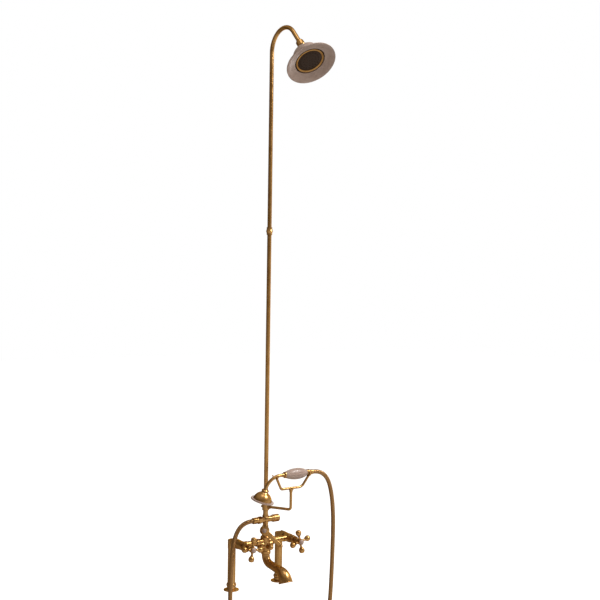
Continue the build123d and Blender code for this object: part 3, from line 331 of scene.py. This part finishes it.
@dataclass(frozen=True)
class PlainFinish:
    """A finish with two mixed tones and a fine grain, for the hose, the plates, the seals and the discs."""

    name: str
    light: str
    dark: str
    metallic: float
    roughness: tuple[float, float]
    # Real grain is finer: each is as coarse as it needs to be to show
    grain_mm: float
    bump_mm: float
    dark_place: float = 0.32
    light_place: float = 0.70
    grain_strength: float = 0.4

    def material(self) -> bpy.types.Material:
        """Builds the finish's nodes.

        Returns:
            The material.
        """
        material, tree = fresh_material(self.name)
        place = add_node(tree, "ShaderNodeTexCoord").outputs["Object"]
        grain = add_node(
            tree, "ShaderNodeTexNoise",
            Vector=place, Scale=1 / (self.grain_mm * MM), Detail=4.0, Roughness=0.6,
        )
        tone = add_node(
            tree, "ShaderNodeValToRGB", Fac=grain.outputs["Fac"],
            stops=((self.dark_place, self.dark), (self.light_place, self.light)),
        )
        rough = add_node(
            tree, "ShaderNodeMapRange", Value=grain.outputs["Fac"], From_Min=NOISE_LOW,
            From_Max=NOISE_HIGH, To_Min=self.roughness[0], To_Max=self.roughness[1],
        )
        bump = add_node(
            tree, "ShaderNodeBump", Height=grain.outputs["Fac"], Strength=self.grain_strength,
            Distance=self.bump_mm * MM,
        )
        shader = add_node(
            tree, "ShaderNodeBsdfPrincipled", Base_Color=tone.outputs["Color"], Metallic=self.metallic,
            Roughness=rough.outputs["Result"], Normal=bump.outputs["Normal"],
        )
        add_node(tree, "ShaderNodeOutputMaterial", Surface=shader.outputs["BSDF"])
        return material


# Rolled brass strip, wound and lightly brushed: a softer, duller gold than the cast pieces
WOUND_BRASS_STRIP = PlainFinish(
    name="wound_brass_strip", light="#AE875B", dark="#8B663D", metallic=1.0,
    roughness=(0.30, 0.42), grain_mm=2.5, bump_mm=0.01,
)

# Alumina lapped flat: an even off-white with a low sheen
LAPPED_ALUMINA = PlainFinish(
    name="lapped_alumina", light="#F0EEE8", dark="#DDD9D0", metallic=0.0,
    roughness=(0.25, 0.35), grain_mm=1.5, bump_mm=0.01,
)

# Brass plate darkened to bronze: a deep brown that takes only a broad, weak shine
BRONZED_PLATE = PlainFinish(
    name="bronzed_spray_plate", light="#38220D", dark="#241407", metallic=0.6,
    roughness=(0.38, 0.52), grain_mm=3.0, bump_mm=0.02,
)

# Moulded sealing rubber: near black and matt
MOULDED_RUBBER = PlainFinish(
    name="moulded_rubber", light="#2B2A29", dark="#1C1B1B", metallic=0.0,
    roughness=(0.6, 0.75), grain_mm=0.8, bump_mm=0.03,
)


@dataclass
class PhotoCamera:
    """The camera that took the photograph, fitted on the riser's axis, in millimetres and degrees."""

    azimuth: float = -34.57
    distance: float = 3028.16
    height: float = 917.05
    riser_forward: float = 53.0
    focal_px: float = 970.79
    axis_px: tuple[float, float] = (268.50, 296.03)
    roll: float = 0.80

    def build(self) -> None:
        """Creates the camera and makes it the scene's."""
        half = IMAGE_SIDE / 2
        turn = math.radians(self.azimuth)
        yaw = math.atan((half - self.axis_px[0]) / self.focal_px)
        pitch = math.atan((self.axis_px[1] - half) / self.focal_px)
        towards = Vector((-math.sin(turn), math.cos(turn), 0))
        across = Vector((math.cos(turn), math.sin(turn), 0))
        ahead = towards * math.cos(yaw) + across * math.sin(yaw)
        right = across * math.cos(yaw) - towards * math.sin(yaw)
        forward = ahead * math.cos(pitch) + Vector((0, 0, math.sin(pitch)))
        up = Vector((0, 0, math.cos(pitch))) - ahead * math.sin(pitch)
        lean = math.radians(self.roll)
        tilted_right = right * math.cos(lean) + up * math.sin(lean)
        tilted_up = up * math.cos(lean) - right * math.sin(lean)
        data = bpy.data.cameras.new("photo_camera")
        data.sensor_width = SENSOR_WIDTH
        data.lens = self.focal_px / IMAGE_SIDE * SENSOR_WIDTH
        data.clip_start, data.clip_end = CLIP_RANGE
        camera = bpy.data.objects.new("photo_camera", data)
        place = Vector((math.sin(turn), -math.cos(turn), 0)) * self.distance
        place += Vector((0, -self.riser_forward, self.height))
        basis = Matrix((tilted_right, tilted_up, -forward)).transposed().to_4x4()
        camera.matrix_world = Matrix.Translation(place * MM) @ basis
        bpy.context.scene.collection.objects.link(camera)
        bpy.context.scene.camera = camera


def link_mesh(name: str, work: bmesh.types.BMesh, finish: bpy.types.Material) -> bpy.types.Object:
    """Turns mesh work into an object of the scene.

    Args:
        name: the object's name.
        work: the mesh work, in metres and in place; it is freed.
        finish: the object's material.

    Returns:
        The new object.
    """
    mesh = bpy.data.meshes.new(name)
    work.to_mesh(mesh)
    work.free()
    mesh.materials.append(finish)
    piece = bpy.data.objects.new(name, mesh)
    bpy.context.scene.collection.objects.link(piece)
    return piece


def face_outwards(work: bmesh.types.BMesh) -> None:
    """Turns every face of closed mesh work outwards and shades it smoothly.

    Args:
        work: the mesh work.
    """
    bmesh.ops.recalc_face_normals(work, faces=work.faces)
    for face in work.faces:
        face.smooth = True


def add_piece(
    name: str, work: bmesh.types.BMesh, finish: bpy.types.Material, body: Body, hides: str
) -> None:
    """Turns finished mesh work into a piece that rides on its body.

    Args:
        name: the piece's name.
        work: the mesh work, in metres and in place; it is freed.
        finish: the piece's material.
        body: the body that carries it.
        hides: the CAD node that it stands for.
    """
    face_outwards(work)
    piece = link_mesh(name, work, finish)
    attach(piece, body.value)
    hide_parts(hides)
    LOG.info("%s: %d faces on %s", name, len(piece.data.polygons), body.value)


def spun(outline: Outline, steps: int) -> bmesh.types.BMesh:
    """Spins an outline once round Z.

    Args:
        outline: (radius, height) points in millimetres; a radius of 0 closes on the axis.
        steps: how many steps go round.

    Returns:
        The mesh work, in millimetres along +Z.
    """
    work = bmesh.new()
    points = [work.verts.new((radius, 0, height)) for radius, height in outline]
    lines = [work.edges.new(pair) for pair in zip(points, points[1:])]
    bmesh.ops.spin(
        work, geom=points + lines, cent=(0, 0, 0), axis=(0, 0, 1), angle=math.tau, steps=steps,
        use_merge=True,
    )
    bmesh.ops.remove_doubles(work, verts=work.verts, dist=WELD_MM)
    return work


def smoothed(outline: Outline, between: int) -> list[tuple[float, float]]:
    """Fills an outline in along a smooth curve through its points.

    Args:
        outline: (radius, height) points.
        between: how many steps go from each point to the next.

    Returns:
        The finer outline.
    """
    points = [Vector(point) for point in outline]
    ends = [points[0] * 2 - points[1], *points, points[-1] * 2 - points[-2]]
    fine = []
    for first, start, end, last in zip(ends, ends[1:], ends[2:], ends[3:]):
        for step in range(between):
            share = step / between
            leaving = (end - first) / 2
            arriving = (last - start) / 2
            bend = start * (2 * share**3 - 3 * share**2 + 1) + leaving * (share**3 - 2 * share**2 + share)
            bend += end * (3 * share**2 - 2 * share**3) + arriving * (share**3 - share**2)
            fine.append((bend.x, bend.y))
    return fine + [tuple(outline[-1])]


def studded(
    work: bmesh.types.BMesh, rings: Sequence[int], pitch: float, stud: Outline, lift: float
) -> bmesh.types.BMesh:
    """Sets rings of small turned studs on a face that looks along +Z.

    Args:
        work: the mesh work, in millimetres.
        rings: how many studs stand on each ring, from the middle outwards.
        pitch: the step from ring to ring.
        stud: one stud's outline.
        lift: the height that the studs stand on.

    Returns:
        The same mesh work.
    """
    one = spun(stud, STUD_STEPS)
    pattern = bpy.data.meshes.new("stud")
    one.to_mesh(pattern)
    one.free()
    for ring, count in enumerate(rings):
        for place in range(count):
            angle = math.tau * place / count
            before = set(work.verts)
            work.from_mesh(pattern)
            fresh = [vertex for vertex in work.verts if vertex not in before]
            at = Vector((ring * pitch * math.cos(angle), ring * pitch * math.sin(angle), lift))
            bmesh.ops.translate(work, vec=at, verts=fresh)
    bpy.data.meshes.remove(pattern)
    return work


def placed(work: bmesh.types.BMesh, origin: Vector, direction: Vector) -> bmesh.types.BMesh:
    """Moves mesh work made along +Z in millimetres to its place in metres.

    Args:
        work: the mesh work.
        origin: where its zero goes, in millimetres.
        direction: where its +Z points.

    Returns:
        The same mesh work.
    """
    nearly_sideways = 0.9
    ahead = direction.normalized()
    side = Vector((1, 0, 0)) if abs(ahead.x) < nearly_sideways else Vector((0, 1, 0))
    right = (side - ahead * side.dot(ahead)).normalized()
    turn = Matrix((right, ahead.cross(right), ahead)).transposed().to_4x4()
    whole = Matrix.Scale(MM, 4) @ Matrix.Translation(origin) @ turn
    bmesh.ops.transform(work, matrix=whole, verts=work.verts)
    return work


@dataclass
class FlutedGrip:
    """The handset's porcelain grip: a long swelling spindle with shallow flutes that die out at its ends."""

    start: Place = (17.0, -131.0, 368.0)
    length: float = 81.0
    radius: float = 17.2
    end_radius: float = 8.6
    bore: float = 4.4
    flutes: int = 14
    steps_per_flute: int = 8
    steps_between: int = 6
    flute_depth: float = 0.9
    fade_share: float = 0.5
    swell_shares: Outline = (
        (0.0, 0.0), (0.42, 0.10), (0.82, 0.28), (1.0, 0.48), (0.94, 0.68), (0.60, 0.86), (0.0, 1.0),
    )

    def build(self, finish: bpy.types.Material) -> None:
        """Turns the grip and cuts its flutes.

        Args:
            finish: the glazed porcelain.
        """
        swell = self.radius - self.end_radius
        side = [(self.end_radius + share * swell, along * self.length) for share, along in self.swell_shares]
        outline = [
            (self.bore, 0), *smoothed(side, self.steps_between), (self.bore, self.length), (self.bore, 0),
        ]
        work = spun(outline, self.flutes * self.steps_per_flute)
        for vertex in work.verts:
            across = math.hypot(vertex.co.x, vertex.co.y)
            if across <= self.end_radius:
                continue
            depth = self.flute_depth * min(1.0, (across - self.end_radius) / (swell * self.fade_share))
            hollow = abs(math.sin(self.flutes * math.atan2(vertex.co.y, vertex.co.x) / 2))
            narrow = 1 - depth * hollow / across
            vertex.co.x *= narrow
            vertex.co.y *= narrow
        placed(work, Vector(self.start), Vector((1, 0, 0)))
        add_piece("fluted_grip", work, finish, Body.HANDSET, "handset_grip")


@dataclass
class ShowerFace:
    """The overhead shower's face: a brass ring in a dark recess round a bronzed plate of small nozzles.

    The ring's bead is given as steps out from the ring's inner edge, then in from its outer edge, each
    with a rise over the ring's top. The plate's crown is given as shares of its radius and its rise.
    """

    ball: Place = (0.0, -209.257, 1664.923)
    facing: Place = (0.0, -0.615661, -0.788011)
    forward: float = 64.0
    around: int = 96
    recess_radius: float = 46.85
    recess_height: float = 1.2
    ring_inner: float = 37.8
    ring_outer: float = 43.6
    ring_height: float = 5.4
    inner_bead: Outline = (
        (0.0, -2.6), (0.3, -1.5), (1.1, -1.1), (1.9, -1.5), (2.2, -2.0), (2.8, -0.9), (3.7, -0.1),
    )
    outer_bead: Outline = ((-1.4, 0.0), (-0.4, -0.6), (0.0, -1.6))
    plate_height: float = 3.4
    plate_crown: float = 0.9
    crown_shares: Outline = ((0.0, 1.0), (0.35, 0.88), (0.7, 0.5))
    plate_gap: float = 0.1
    plate_round: float = 0.6
    plate_drop: float = 0.5
    nozzle_rings: Sequence[int] = (1, 6, 12, 18)
    nozzle_pitch: float = 9.5
    nozzle_lift: float = 0.3
    nozzle: Outline = (
        (0.0, -0.4), (1.9, -0.4), (1.8, 0.0), (1.35, 1.2), (0.85, 1.25), (0.75, 0.5), (0.0, 0.5),
    )

    def ring(self) -> bmesh.types.BMesh:
        """Turns the ring with its bead.

        Returns:
            The mesh work, in millimetres along +Z.
        """
        inner, outer, low, top = self.ring_inner, self.ring_outer, self.recess_height, self.ring_height
        bead = [(inner + out, top + rise) for out, rise in self.inner_bead]
        bead += [(outer + out, top + rise) for out, rise in self.outer_bead]
        return spun([(inner, low), *bead, (outer, low), (inner, low)], self.around)

    def plate(self) -> bmesh.types.BMesh:
        """Turns the crowned plate with the recess round it, and sets its nozzles.

        Returns:
            The mesh work, in millimetres along +Z.
        """
        inner, low, top = self.ring_inner, self.recess_height, self.plate_height
        crown = [(inner * out, top + self.plate_crown * rise) for out, rise in self.crown_shares]
        edge = inner - self.plate_gap
        outline = [
            *crown, (inner - self.plate_round, top), (edge, top - self.plate_drop), (edge, low),
            (self.recess_radius, low), (self.recess_radius, 0.0), (0.0, 0.0),
        ]
        disc = spun(outline, self.around)
        return studded(disc, self.nozzle_rings, self.nozzle_pitch, self.nozzle, top + self.nozzle_lift)

    def build(self, brass: bpy.types.Material, bronze: bpy.types.Material) -> None:
        """Puts the ring and the plate on the shower head.

        Args:
            brass: the ring's finish.
            bronze: the plate's finish.
        """
        axis = Vector(self.facing)
        seat = Vector(self.ball) + axis * self.forward
        ring = placed(self.ring(), seat, axis)
        add_piece("shower_face_ring", ring, brass, Body.SHOWER_HEAD, "head_bezel")
        plate = placed(self.plate(), seat, axis)
        add_piece("shower_face_plate", plate, bronze, Body.SHOWER_HEAD, "head_plate")


@dataclass
class HandsetSpray:
    """The handset's spray plate inside its porcelain rim: a crowned disc with rings of small nozzles.

    The crown is given as shares of the plate's radius and its rise, and the groove round it as shares of
    the radius with a rise over the plate's height.
    """

    seat: Place = (-49.0997, -122.7562, 329.2161)
    facing: Place = (-0.190809, 0.204092, -0.960176)
    forward: float = 33.5
    around: int = 72
    radius: float = 27.3
    height: float = 2.2
    crown: float = 0.9
    crown_shares: Outline = ((0.0, 1.0), (0.4, 0.85), (0.82, 0.3))
    groove: Outline = ((0.88, -0.5), (0.93, -0.4))
    edge_round: float = 0.5
    nozzle_rings: Sequence[int] = (1, 6, 12, 18)
    nozzle_pitch: float = 7.0
    nozzle_lift: float = 0.4
    nozzle: Outline = (
        (0.0, -0.4), (1.5, -0.4), (1.4, 0.0), (1.05, 0.8), (0.65, 0.85), (0.6, 0.3), (0.0, 0.3),
    )

    def build(self, finish: bpy.types.Material) -> None:
        """Turns the plate, sets its nozzles and puts it on the handset.

        Args:
            finish: the plate's finish.
        """
        axis = Vector(self.facing)
        edge, top = self.radius, self.height
        outline = [(edge * out, top + self.crown * rise) for out, rise in self.crown_shares]
        outline += [(edge * out, top + rise) for out, rise in self.groove]
        outline += [(edge - self.edge_round, top), (edge, top - self.edge_round), (edge, 0.0), (0.0, 0.0)]
        disc = spun(outline, self.around)
        plate = studded(disc, self.nozzle_rings, self.nozzle_pitch, self.nozzle, top + self.nozzle_lift)
        placed(plate, Vector(self.seat) + axis * self.forward, axis)
        add_piece(
            "handset_spray_plate", plate, finish, Body.HANDSET, "handset_spray"
        )


@dataclass
class ShowerHose:
    """The interlocked brass hose: bands wound edge to edge, hung in one loop from tee to handset.

    The band's sizes are in millimetres; the length, the blend's ends and the route are in metres.
    """

    diameter: float = 13.6
    band_pitch: float = 2.7
    groove_depth: float = 0.38
    shoulder_drop: float = 0.10
    shoulder_share: float = 0.12
    crown_share: float = 0.30
    around: int = 18
    weld: float = 0.02
    line_order: int = 3
    line_steps: int = 12
    length: float = 1.477
    blend_start: Place = (0.0, -0.071, 0.0)
    blend_end: Place = (0.0107, -0.178, 0.0107)
    route: Sequence[Place] = (
        (-0.048, -0.053, 0.219),
        (-0.060, -0.053, 0.219),
        (-0.0765, -0.0535, 0.216),
        (-0.0945, -0.056, 0.208),
        (-0.110, -0.060, 0.1935),
        (-0.1215, -0.0645, 0.174),
        (-0.129, -0.068, 0.150),
        (-0.134, -0.0705, 0.119),
        (-0.1375, -0.072, 0.072),
        (-0.1395, -0.073, -0.008),
        (-0.138, -0.075, -0.090),
        (-0.131, -0.079, -0.165),
        (-0.114, -0.084, -0.224),
        (-0.086, -0.090, -0.269),
        (-0.046, -0.097, -0.300),
        (0.004, -0.104, -0.313),
        (0.056, -0.111, -0.306),
        (0.104, -0.117, -0.280),
        (0.144, -0.123, -0.240),
        (0.173, -0.127, -0.188),
        (0.1915, -0.130, -0.124),
        (0.200, -0.131, -0.045),
        (0.2045, -0.131, 0.040),
        (0.2075, -0.131, 0.136),
        (0.208, -0.131, 0.205),
        (0.205, -0.131, 0.254),
        (0.199, -0.131, 0.293),
        (0.1908, -0.131, 0.323),
        (0.1806, -0.131, 0.3428),
        (0.1676, -0.131, 0.356),
        (0.1516, -0.131, 0.3644),
        (0.135, -0.131, 0.368),
        (0.122, -0.131, 0.368),
    )

    def centreline(self) -> bpy.types.Object:
        """Makes the hose's line: one NURBS spline on the route's points.

        Returns:
            The line.
        """
        data = bpy.data.curves.new("hose_line", "CURVE")
        data.dimensions = "3D"
        spline = data.splines.new("NURBS")
        spline.points.add(len(self.route) - 1)
        for point, place in zip(spline.points, self.route):
            point.co = (*place, 1)
        spline.order_u = self.line_order
        spline.use_endpoint_u = True
        spline.resolution_u = self.line_steps
        line = bpy.data.objects.new("hose_line", data)
        bpy.context.scene.collection.objects.link(line)
        return line

    def band(self, finish: bpy.types.Material) -> bpy.types.Object:
        """Makes one wound band along +X: a flat crown between two rolled edges.

        Args:
            finish: the hose's metal.

        Returns:
            The band.
        """
        outer = self.diameter / 2
        deep = outer - self.groove_depth
        shoulder = outer - self.shoulder_drop
        pitch = self.band_pitch
        outline = [
            (deep, 0), (shoulder, pitch * self.shoulder_share), (outer, pitch * self.crown_share),
            (outer, pitch * (1 - self.crown_share)), (shoulder, pitch * (1 - self.shoulder_share)),
            (deep, pitch),
        ]
        work = placed(spun(outline, self.around), Vector((0, 0, 0)), Vector((1, 0, 0)))
        return link_mesh("hose_band", work, finish)

    def wound(self, line: bpy.types.Object, finish: bpy.types.Material) -> bmesh.types.BMesh:
        """Repeats the band along the line and closes its two ends.

        Args:
            line: the hose's line.
            finish: the hose's metal.

        Returns:
            The mesh work, in metres and in place.
        """
        band = self.band(finish)
        row = band.modifiers.new("row", "ARRAY")
        row.fit_type = "FIT_CURVE"
        row.curve = line
        row.relative_offset_displace = (1, 0, 0)
        row.use_merge_vertices = True
        row.merge_threshold = self.weld * MM
        follow = band.modifiers.new("follow", "CURVE")
        follow.object = line
        graph = bpy.context.evaluated_depsgraph_get()
        graph.update()
        bands = bpy.data.meshes.new_from_object(band.evaluated_get(graph), depsgraph=graph)
        bpy.data.objects.remove(band)
        work = bmesh.new()
        work.from_mesh(bands)
        bmesh.ops.holes_fill(work, edges=[edge for edge in work.edges if edge.is_boundary])
        return work

    def build(self, finish: bpy.types.Material) -> None:
        """Hangs the hose between tee and handset.

        Args:
            finish: the hose's metal.
        """
        line = self.centreline()
        points = [vertex.co.copy() for vertex in bpy.data.meshes.new_from_object(line).vertices]
        work = self.wound(line, finish)
        bpy.data.objects.remove(line)
        face_outwards(work)
        hose = link_mesh("shower_hose", work, finish)
        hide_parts("hose")
        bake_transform(hose)
        LOG.info("shower_hose: %d faces", len(hose.data.polygons))


@dataclass(frozen=True)
class SoftBox:
    """One rectangular studio lamp: its place, aim and size in metres, and its power in watts."""

    name: str
    place: Place
    aim: Place
    size: tuple[float, float]
    watts: float

    def hang(self) -> None:
        """Hangs the lamp and turns it to its aim."""
        data = bpy.data.lights.new(self.name, "AREA")
        data.shape = "RECTANGLE"
        data.size, data.size_y = self.size
        data.energy = self.watts
        lamp = bpy.data.objects.new(self.name, data)
        lamp.location = self.place
        lamp.rotation_mode = "QUATERNION"
        lamp.rotation_quaternion = (Vector(self.aim) - Vector(self.place)).to_track_quat("-Z", "Y")
        bpy.context.scene.collection.objects.link(lamp)


@dataclass
class Studio:
    """A plain pale floor, a white surround, a toned room for the metal to mirror, and soft lamps.

    The floor's height and the room's clearance over it are in millimetres, the opening in degrees, and
    the other places and sizes in metres.
    """

    floor_height: float = -360.0
    floor_side: float = 30.0
    floor_tone: str = "#D9D8D5"
    floor_roughness: float = 0.9
    floor_glow: float = 0.80
    room_radius: float = 4.6
    room_middle: float = 0.8
    room_steps: tuple[int, int] = (72, 36)
    room_clearance: float = 12.0
    behind: tuple[float, float] = (0.567, 0.823)
    opening: float = 17.0
    opening_top: float = 2.6
    opening_reach: float = 1.0
    low_tones: Tones = (
        (0.0, "#857D74"), (0.25, "#9A9187"), (0.45, "#CFC7BC"),
        (0.66, "#F6F0E8"), (0.85, "#E6E0D8"), (1.0, "#968E85"),
    )
    high_tones: Tones = (
        (0.0, "#5A5349"), (0.25, "#6F6659"), (0.50, "#7A6E5C"),
        (0.66, "#A39A8C"), (0.82, "#E0DAD2"), (1.0, "#E0DAD2"),
    )
    ceiling_tone: str = "#B4ACA1"
    high_from: float = 0.0
    high_to: float = 0.7
    ceiling_from: float = 2.6
    ceiling_to: float = 3.8
    light_side: Place = (0.38, -0.90, -0.10)
    light_range: tuple[float, float] = (-0.8, 0.9)
    light_tones: Tones = ((0.0, "#85807A"), (1.0, "#C9C5C0"))
    lamps: Sequence[SoftBox] = (
        SoftBox("key_box", (1.75, -1.9, 3.1), (0, 0, 0.4), (1.2, 1.1), 100),
        SoftBox("side_box", (2.7, 0.4, 0.7), (0, 0, 0.9), (0.9, 1.3), 8),
        SoftBox("top_box", (-0.2, -0.8, 3.6), (0, 0, 0.6), (1.4, 1.4), 14),
    )

    def floor_finish(self) -> bpy.types.Material:
        """Makes the floor's matt white paint, which glows where it is seen, so that it stays pale.

        Returns:
            The material.
        """
        material, tree = fresh_material("matt_white_floor")
        paint = add_node(
            tree, "ShaderNodeBsdfPrincipled", Base_Color=linear(self.floor_tone),
            Roughness=self.floor_roughness, Specular_IOR_Level=0.0,
        )
        glow = add_node(tree, "ShaderNodeEmission", Color=linear(WHITE), Strength=self.floor_glow)
        dark = add_node(tree, "ShaderNodeEmission", Color=linear(BLACK), Strength=0.0)
        shown = add_node(
            tree, "ShaderNodeMixShader", at_0=seen_or_mirrored(tree), at_1=dark.outputs[0],
            at_2=glow.outputs[0],
        )
        total = add_node(tree, "ShaderNodeAddShader", at_0=paint.outputs[0], at_1=shown.outputs[0])
        add_node(tree, "ShaderNodeOutputMaterial", Surface=total.outputs[0])
        return material

    def floor(self) -> None:
        """Lays the floor under the hanging hose."""
        work = bmesh.new()
        bmesh.ops.create_grid(work, x_segments=1, y_segments=1, size=self.floor_side / 2)
        bmesh.ops.translate(work, vec=(0, 0, self.floor_height * MM), verts=work.verts)
        link_mesh("studio_floor", work, self.floor_finish())

    def room_finish(self, back: Vector) -> bpy.types.Material:
        """Makes the room's glow: tones that go round by bearing, change with height and end in a ceiling.

        Args:
            back: the level direction from the camera to what is behind the object.

        Returns:
            The material.
        """
        material, tree = fresh_material("grey_studio_room")
        place = add_node(tree, "ShaderNodeTexCoord").outputs["Object"]
        ahead = add_node(
            tree, "ShaderNodeVectorMath", {"operation": "DOT_PRODUCT"},
            at_0=place, at_1=(-back.x, -back.y, 0.0),
        )
        right = add_node(
            tree, "ShaderNodeVectorMath", {"operation": "DOT_PRODUCT"},
            at_0=place, at_1=(back.y, -back.x, 0.0),
        )
        bearing = add_node(
            tree, "ShaderNodeMath", {"operation": "ARCTAN2"},
            at_0=right.outputs["Value"], at_1=ahead.outputs["Value"],
        )
        bearing_share = add_node(
            tree, "ShaderNodeMapRange", Value=bearing.outputs["Value"], From_Min=-math.pi, From_Max=math.pi
        ).outputs["Result"]
        level = add_node(tree, "ShaderNodeSeparateXYZ", Vector=place).outputs["Z"]
        rise = add_node(
            tree, "ShaderNodeMapRange", {"interpolation_type": "SMOOTHSTEP"}, Value=level,
            From_Min=self.high_from, From_Max=self.high_to,
        )
        low = add_node(tree, "ShaderNodeValToRGB", stops=self.low_tones, Fac=bearing_share)
        high = add_node(tree, "ShaderNodeValToRGB", stops=self.high_tones, Fac=bearing_share)
        walls = add_node(
            tree, "ShaderNodeMix", {"data_type": "RGBA"},
            at_0=rise.outputs["Result"], at_6=low.outputs["Color"], at_7=high.outputs["Color"],
        )
        overhead = add_node(
            tree, "ShaderNodeMapRange", {"interpolation_type": "SMOOTHSTEP"}, Value=level,
            From_Min=self.ceiling_from, From_Max=self.ceiling_to,
        )
        whole = add_node(
            tree, "ShaderNodeMix", {"data_type": "RGBA"},
            at_0=overhead.outputs["Result"], at_6=walls.outputs[2], at_7=linear(self.ceiling_tone),
        )
        glow = add_node(tree, "ShaderNodeEmission", Color=whole.outputs[2], Strength=1.0)
        add_node(tree, "ShaderNodeOutputMaterial", Surface=glow.outputs[0])
        return material

    def room(self) -> None:
        """Hangs a toned room round the studio, open behind the object, that only reflections see."""
        work = bmesh.new()
        around, upwards = self.room_steps
        bmesh.ops.create_uvsphere(work, u_segments=around, v_segments=upwards, radius=self.room_radius)
        bmesh.ops.translate(work, vec=(0, 0, self.room_middle), verts=work.verts)
        low = (self.floor_height + self.room_clearance) * MM
        bmesh.ops.bisect_plane(
            work, geom=work.verts[:] + work.edges[:] + work.faces[:], plane_co=(0, 0, low),
            plane_no=(0, 0, 1), clear_inner=True,
        )
        bmesh.ops.holes_fill(work, edges=[edge for edge in work.edges if edge.is_boundary])
        back = Vector((*self.behind, 0)).normalized()
        half = math.radians(self.opening)
        window = []
        for face in work.faces:
            centre = face.calc_center_median()
            level = Vector((centre.x, centre.y, 0))
            if level.length > self.opening_reach and level.angle(back) < half and centre.z < self.opening_top:
                window.append(face)
        bmesh.ops.delete(work, geom=window, context="FACES")
        room = link_mesh("grey_room", work, self.room_finish(back))
        room.visible_camera = False
        room.visible_diffuse = False
        room.visible_shadow = False
        room.visible_transmission = False
        room.visible_volume_scatter = False

    def surround(self) -> None:
        """Sets the world: white where it is seen or mirrored, a softer room where it only lights."""
        world = bpy.data.worlds.new("studio_surround")
        world.use_nodes = True
        tree = world.node_tree
        tree.nodes.clear()
        way = add_node(tree, "ShaderNodeTexCoord").outputs["Generated"]
        front = add_node(
            tree, "ShaderNodeVectorMath", {"operation": "DOT_PRODUCT"}, at_0=way, at_1=self.light_side
        )
        level = add_node(
            tree, "ShaderNodeMapRange", {"interpolation_type": "SMOOTHSTEP"},
            Value=front.outputs["Value"], From_Min=self.light_range[0], From_Max=self.light_range[1],
        )
        light = add_node(tree, "ShaderNodeValToRGB", stops=self.light_tones, Fac=level.outputs["Result"])
        colour = add_node(
            tree, "ShaderNodeMix", {"data_type": "RGBA"},
            at_0=seen_or_mirrored(tree), at_6=light.outputs["Color"], at_7=linear(WHITE),
        )
        back = add_node(tree, "ShaderNodeBackground", Color=colour.outputs[2], Strength=1.0)
        add_node(tree, "ShaderNodeOutputWorld", Surface=back.outputs[0])
        bpy.context.scene.world = world

    def build(self) -> None:
        """Sets up floor, surround, room and lamps."""
        self.floor()
        self.surround()
        self.room()
        for lamp in self.lamps:
            lamp.hang()


@dataclass
class CadFinishes:
    """Which finish each CAD node that stays gets, by the record's material slots."""

    finishes: dict[Slot, bpy.types.Material]

    def dress(self, nodes: dict[str, bpy.types.Object], record: dict) -> None:
        """Gives every shown CAD node its finish.

        Args:
            nodes: the CAD nodes by name.
            record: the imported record.
        """
        slots = {row["node"]: Slot(row["material_slot"]) for row in record["subparts"]}
        for name, node in nodes.items():
            finish = self.finishes[slots.get(name, Slot.BRASS)]
            if not node.data.materials:
                node.data.materials.append(finish)
            for place in range(len(node.data.materials)):
                node.data.materials[place] = finish


def main() -> None:
    """Builds the pieces in order and reports each one."""
    logging.basicConfig(level=logging.INFO, format="%(name)s: %(message)s")
    for item in list(bpy.data.objects):
        bpy.data.objects.remove(item)
    bpy.context.scene.view_settings.view_transform = "Standard"
    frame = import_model()
    PhotoCamera().build()
    finishes = {
        Slot.BRASS: PolishedBrass().material(),
        Slot.HOSE: WOUND_BRASS_STRIP.material(),
        Slot.PORCELAIN: GlazedPorcelain().material(),
        Slot.CERAMIC: LAPPED_ALUMINA.material(),
        Slot.SPRAY_PLATE: BRONZED_PLATE.material(),
        Slot.RUBBER: MOULDED_RUBBER.material(),
    }
    FlutedGrip().build(finishes[Slot.PORCELAIN])
    ShowerFace().build(finishes[Slot.BRASS], finishes[Slot.SPRAY_PLATE])
    HandsetSpray().build(finishes[Slot.SPRAY_PLATE])
    ShowerHose().build(finishes[Slot.HOSE])
    CadFinishes(finishes).dress(frame["nodes"], frame["record"])
    Studio().build()


if __name__ == "__main__":
    main()
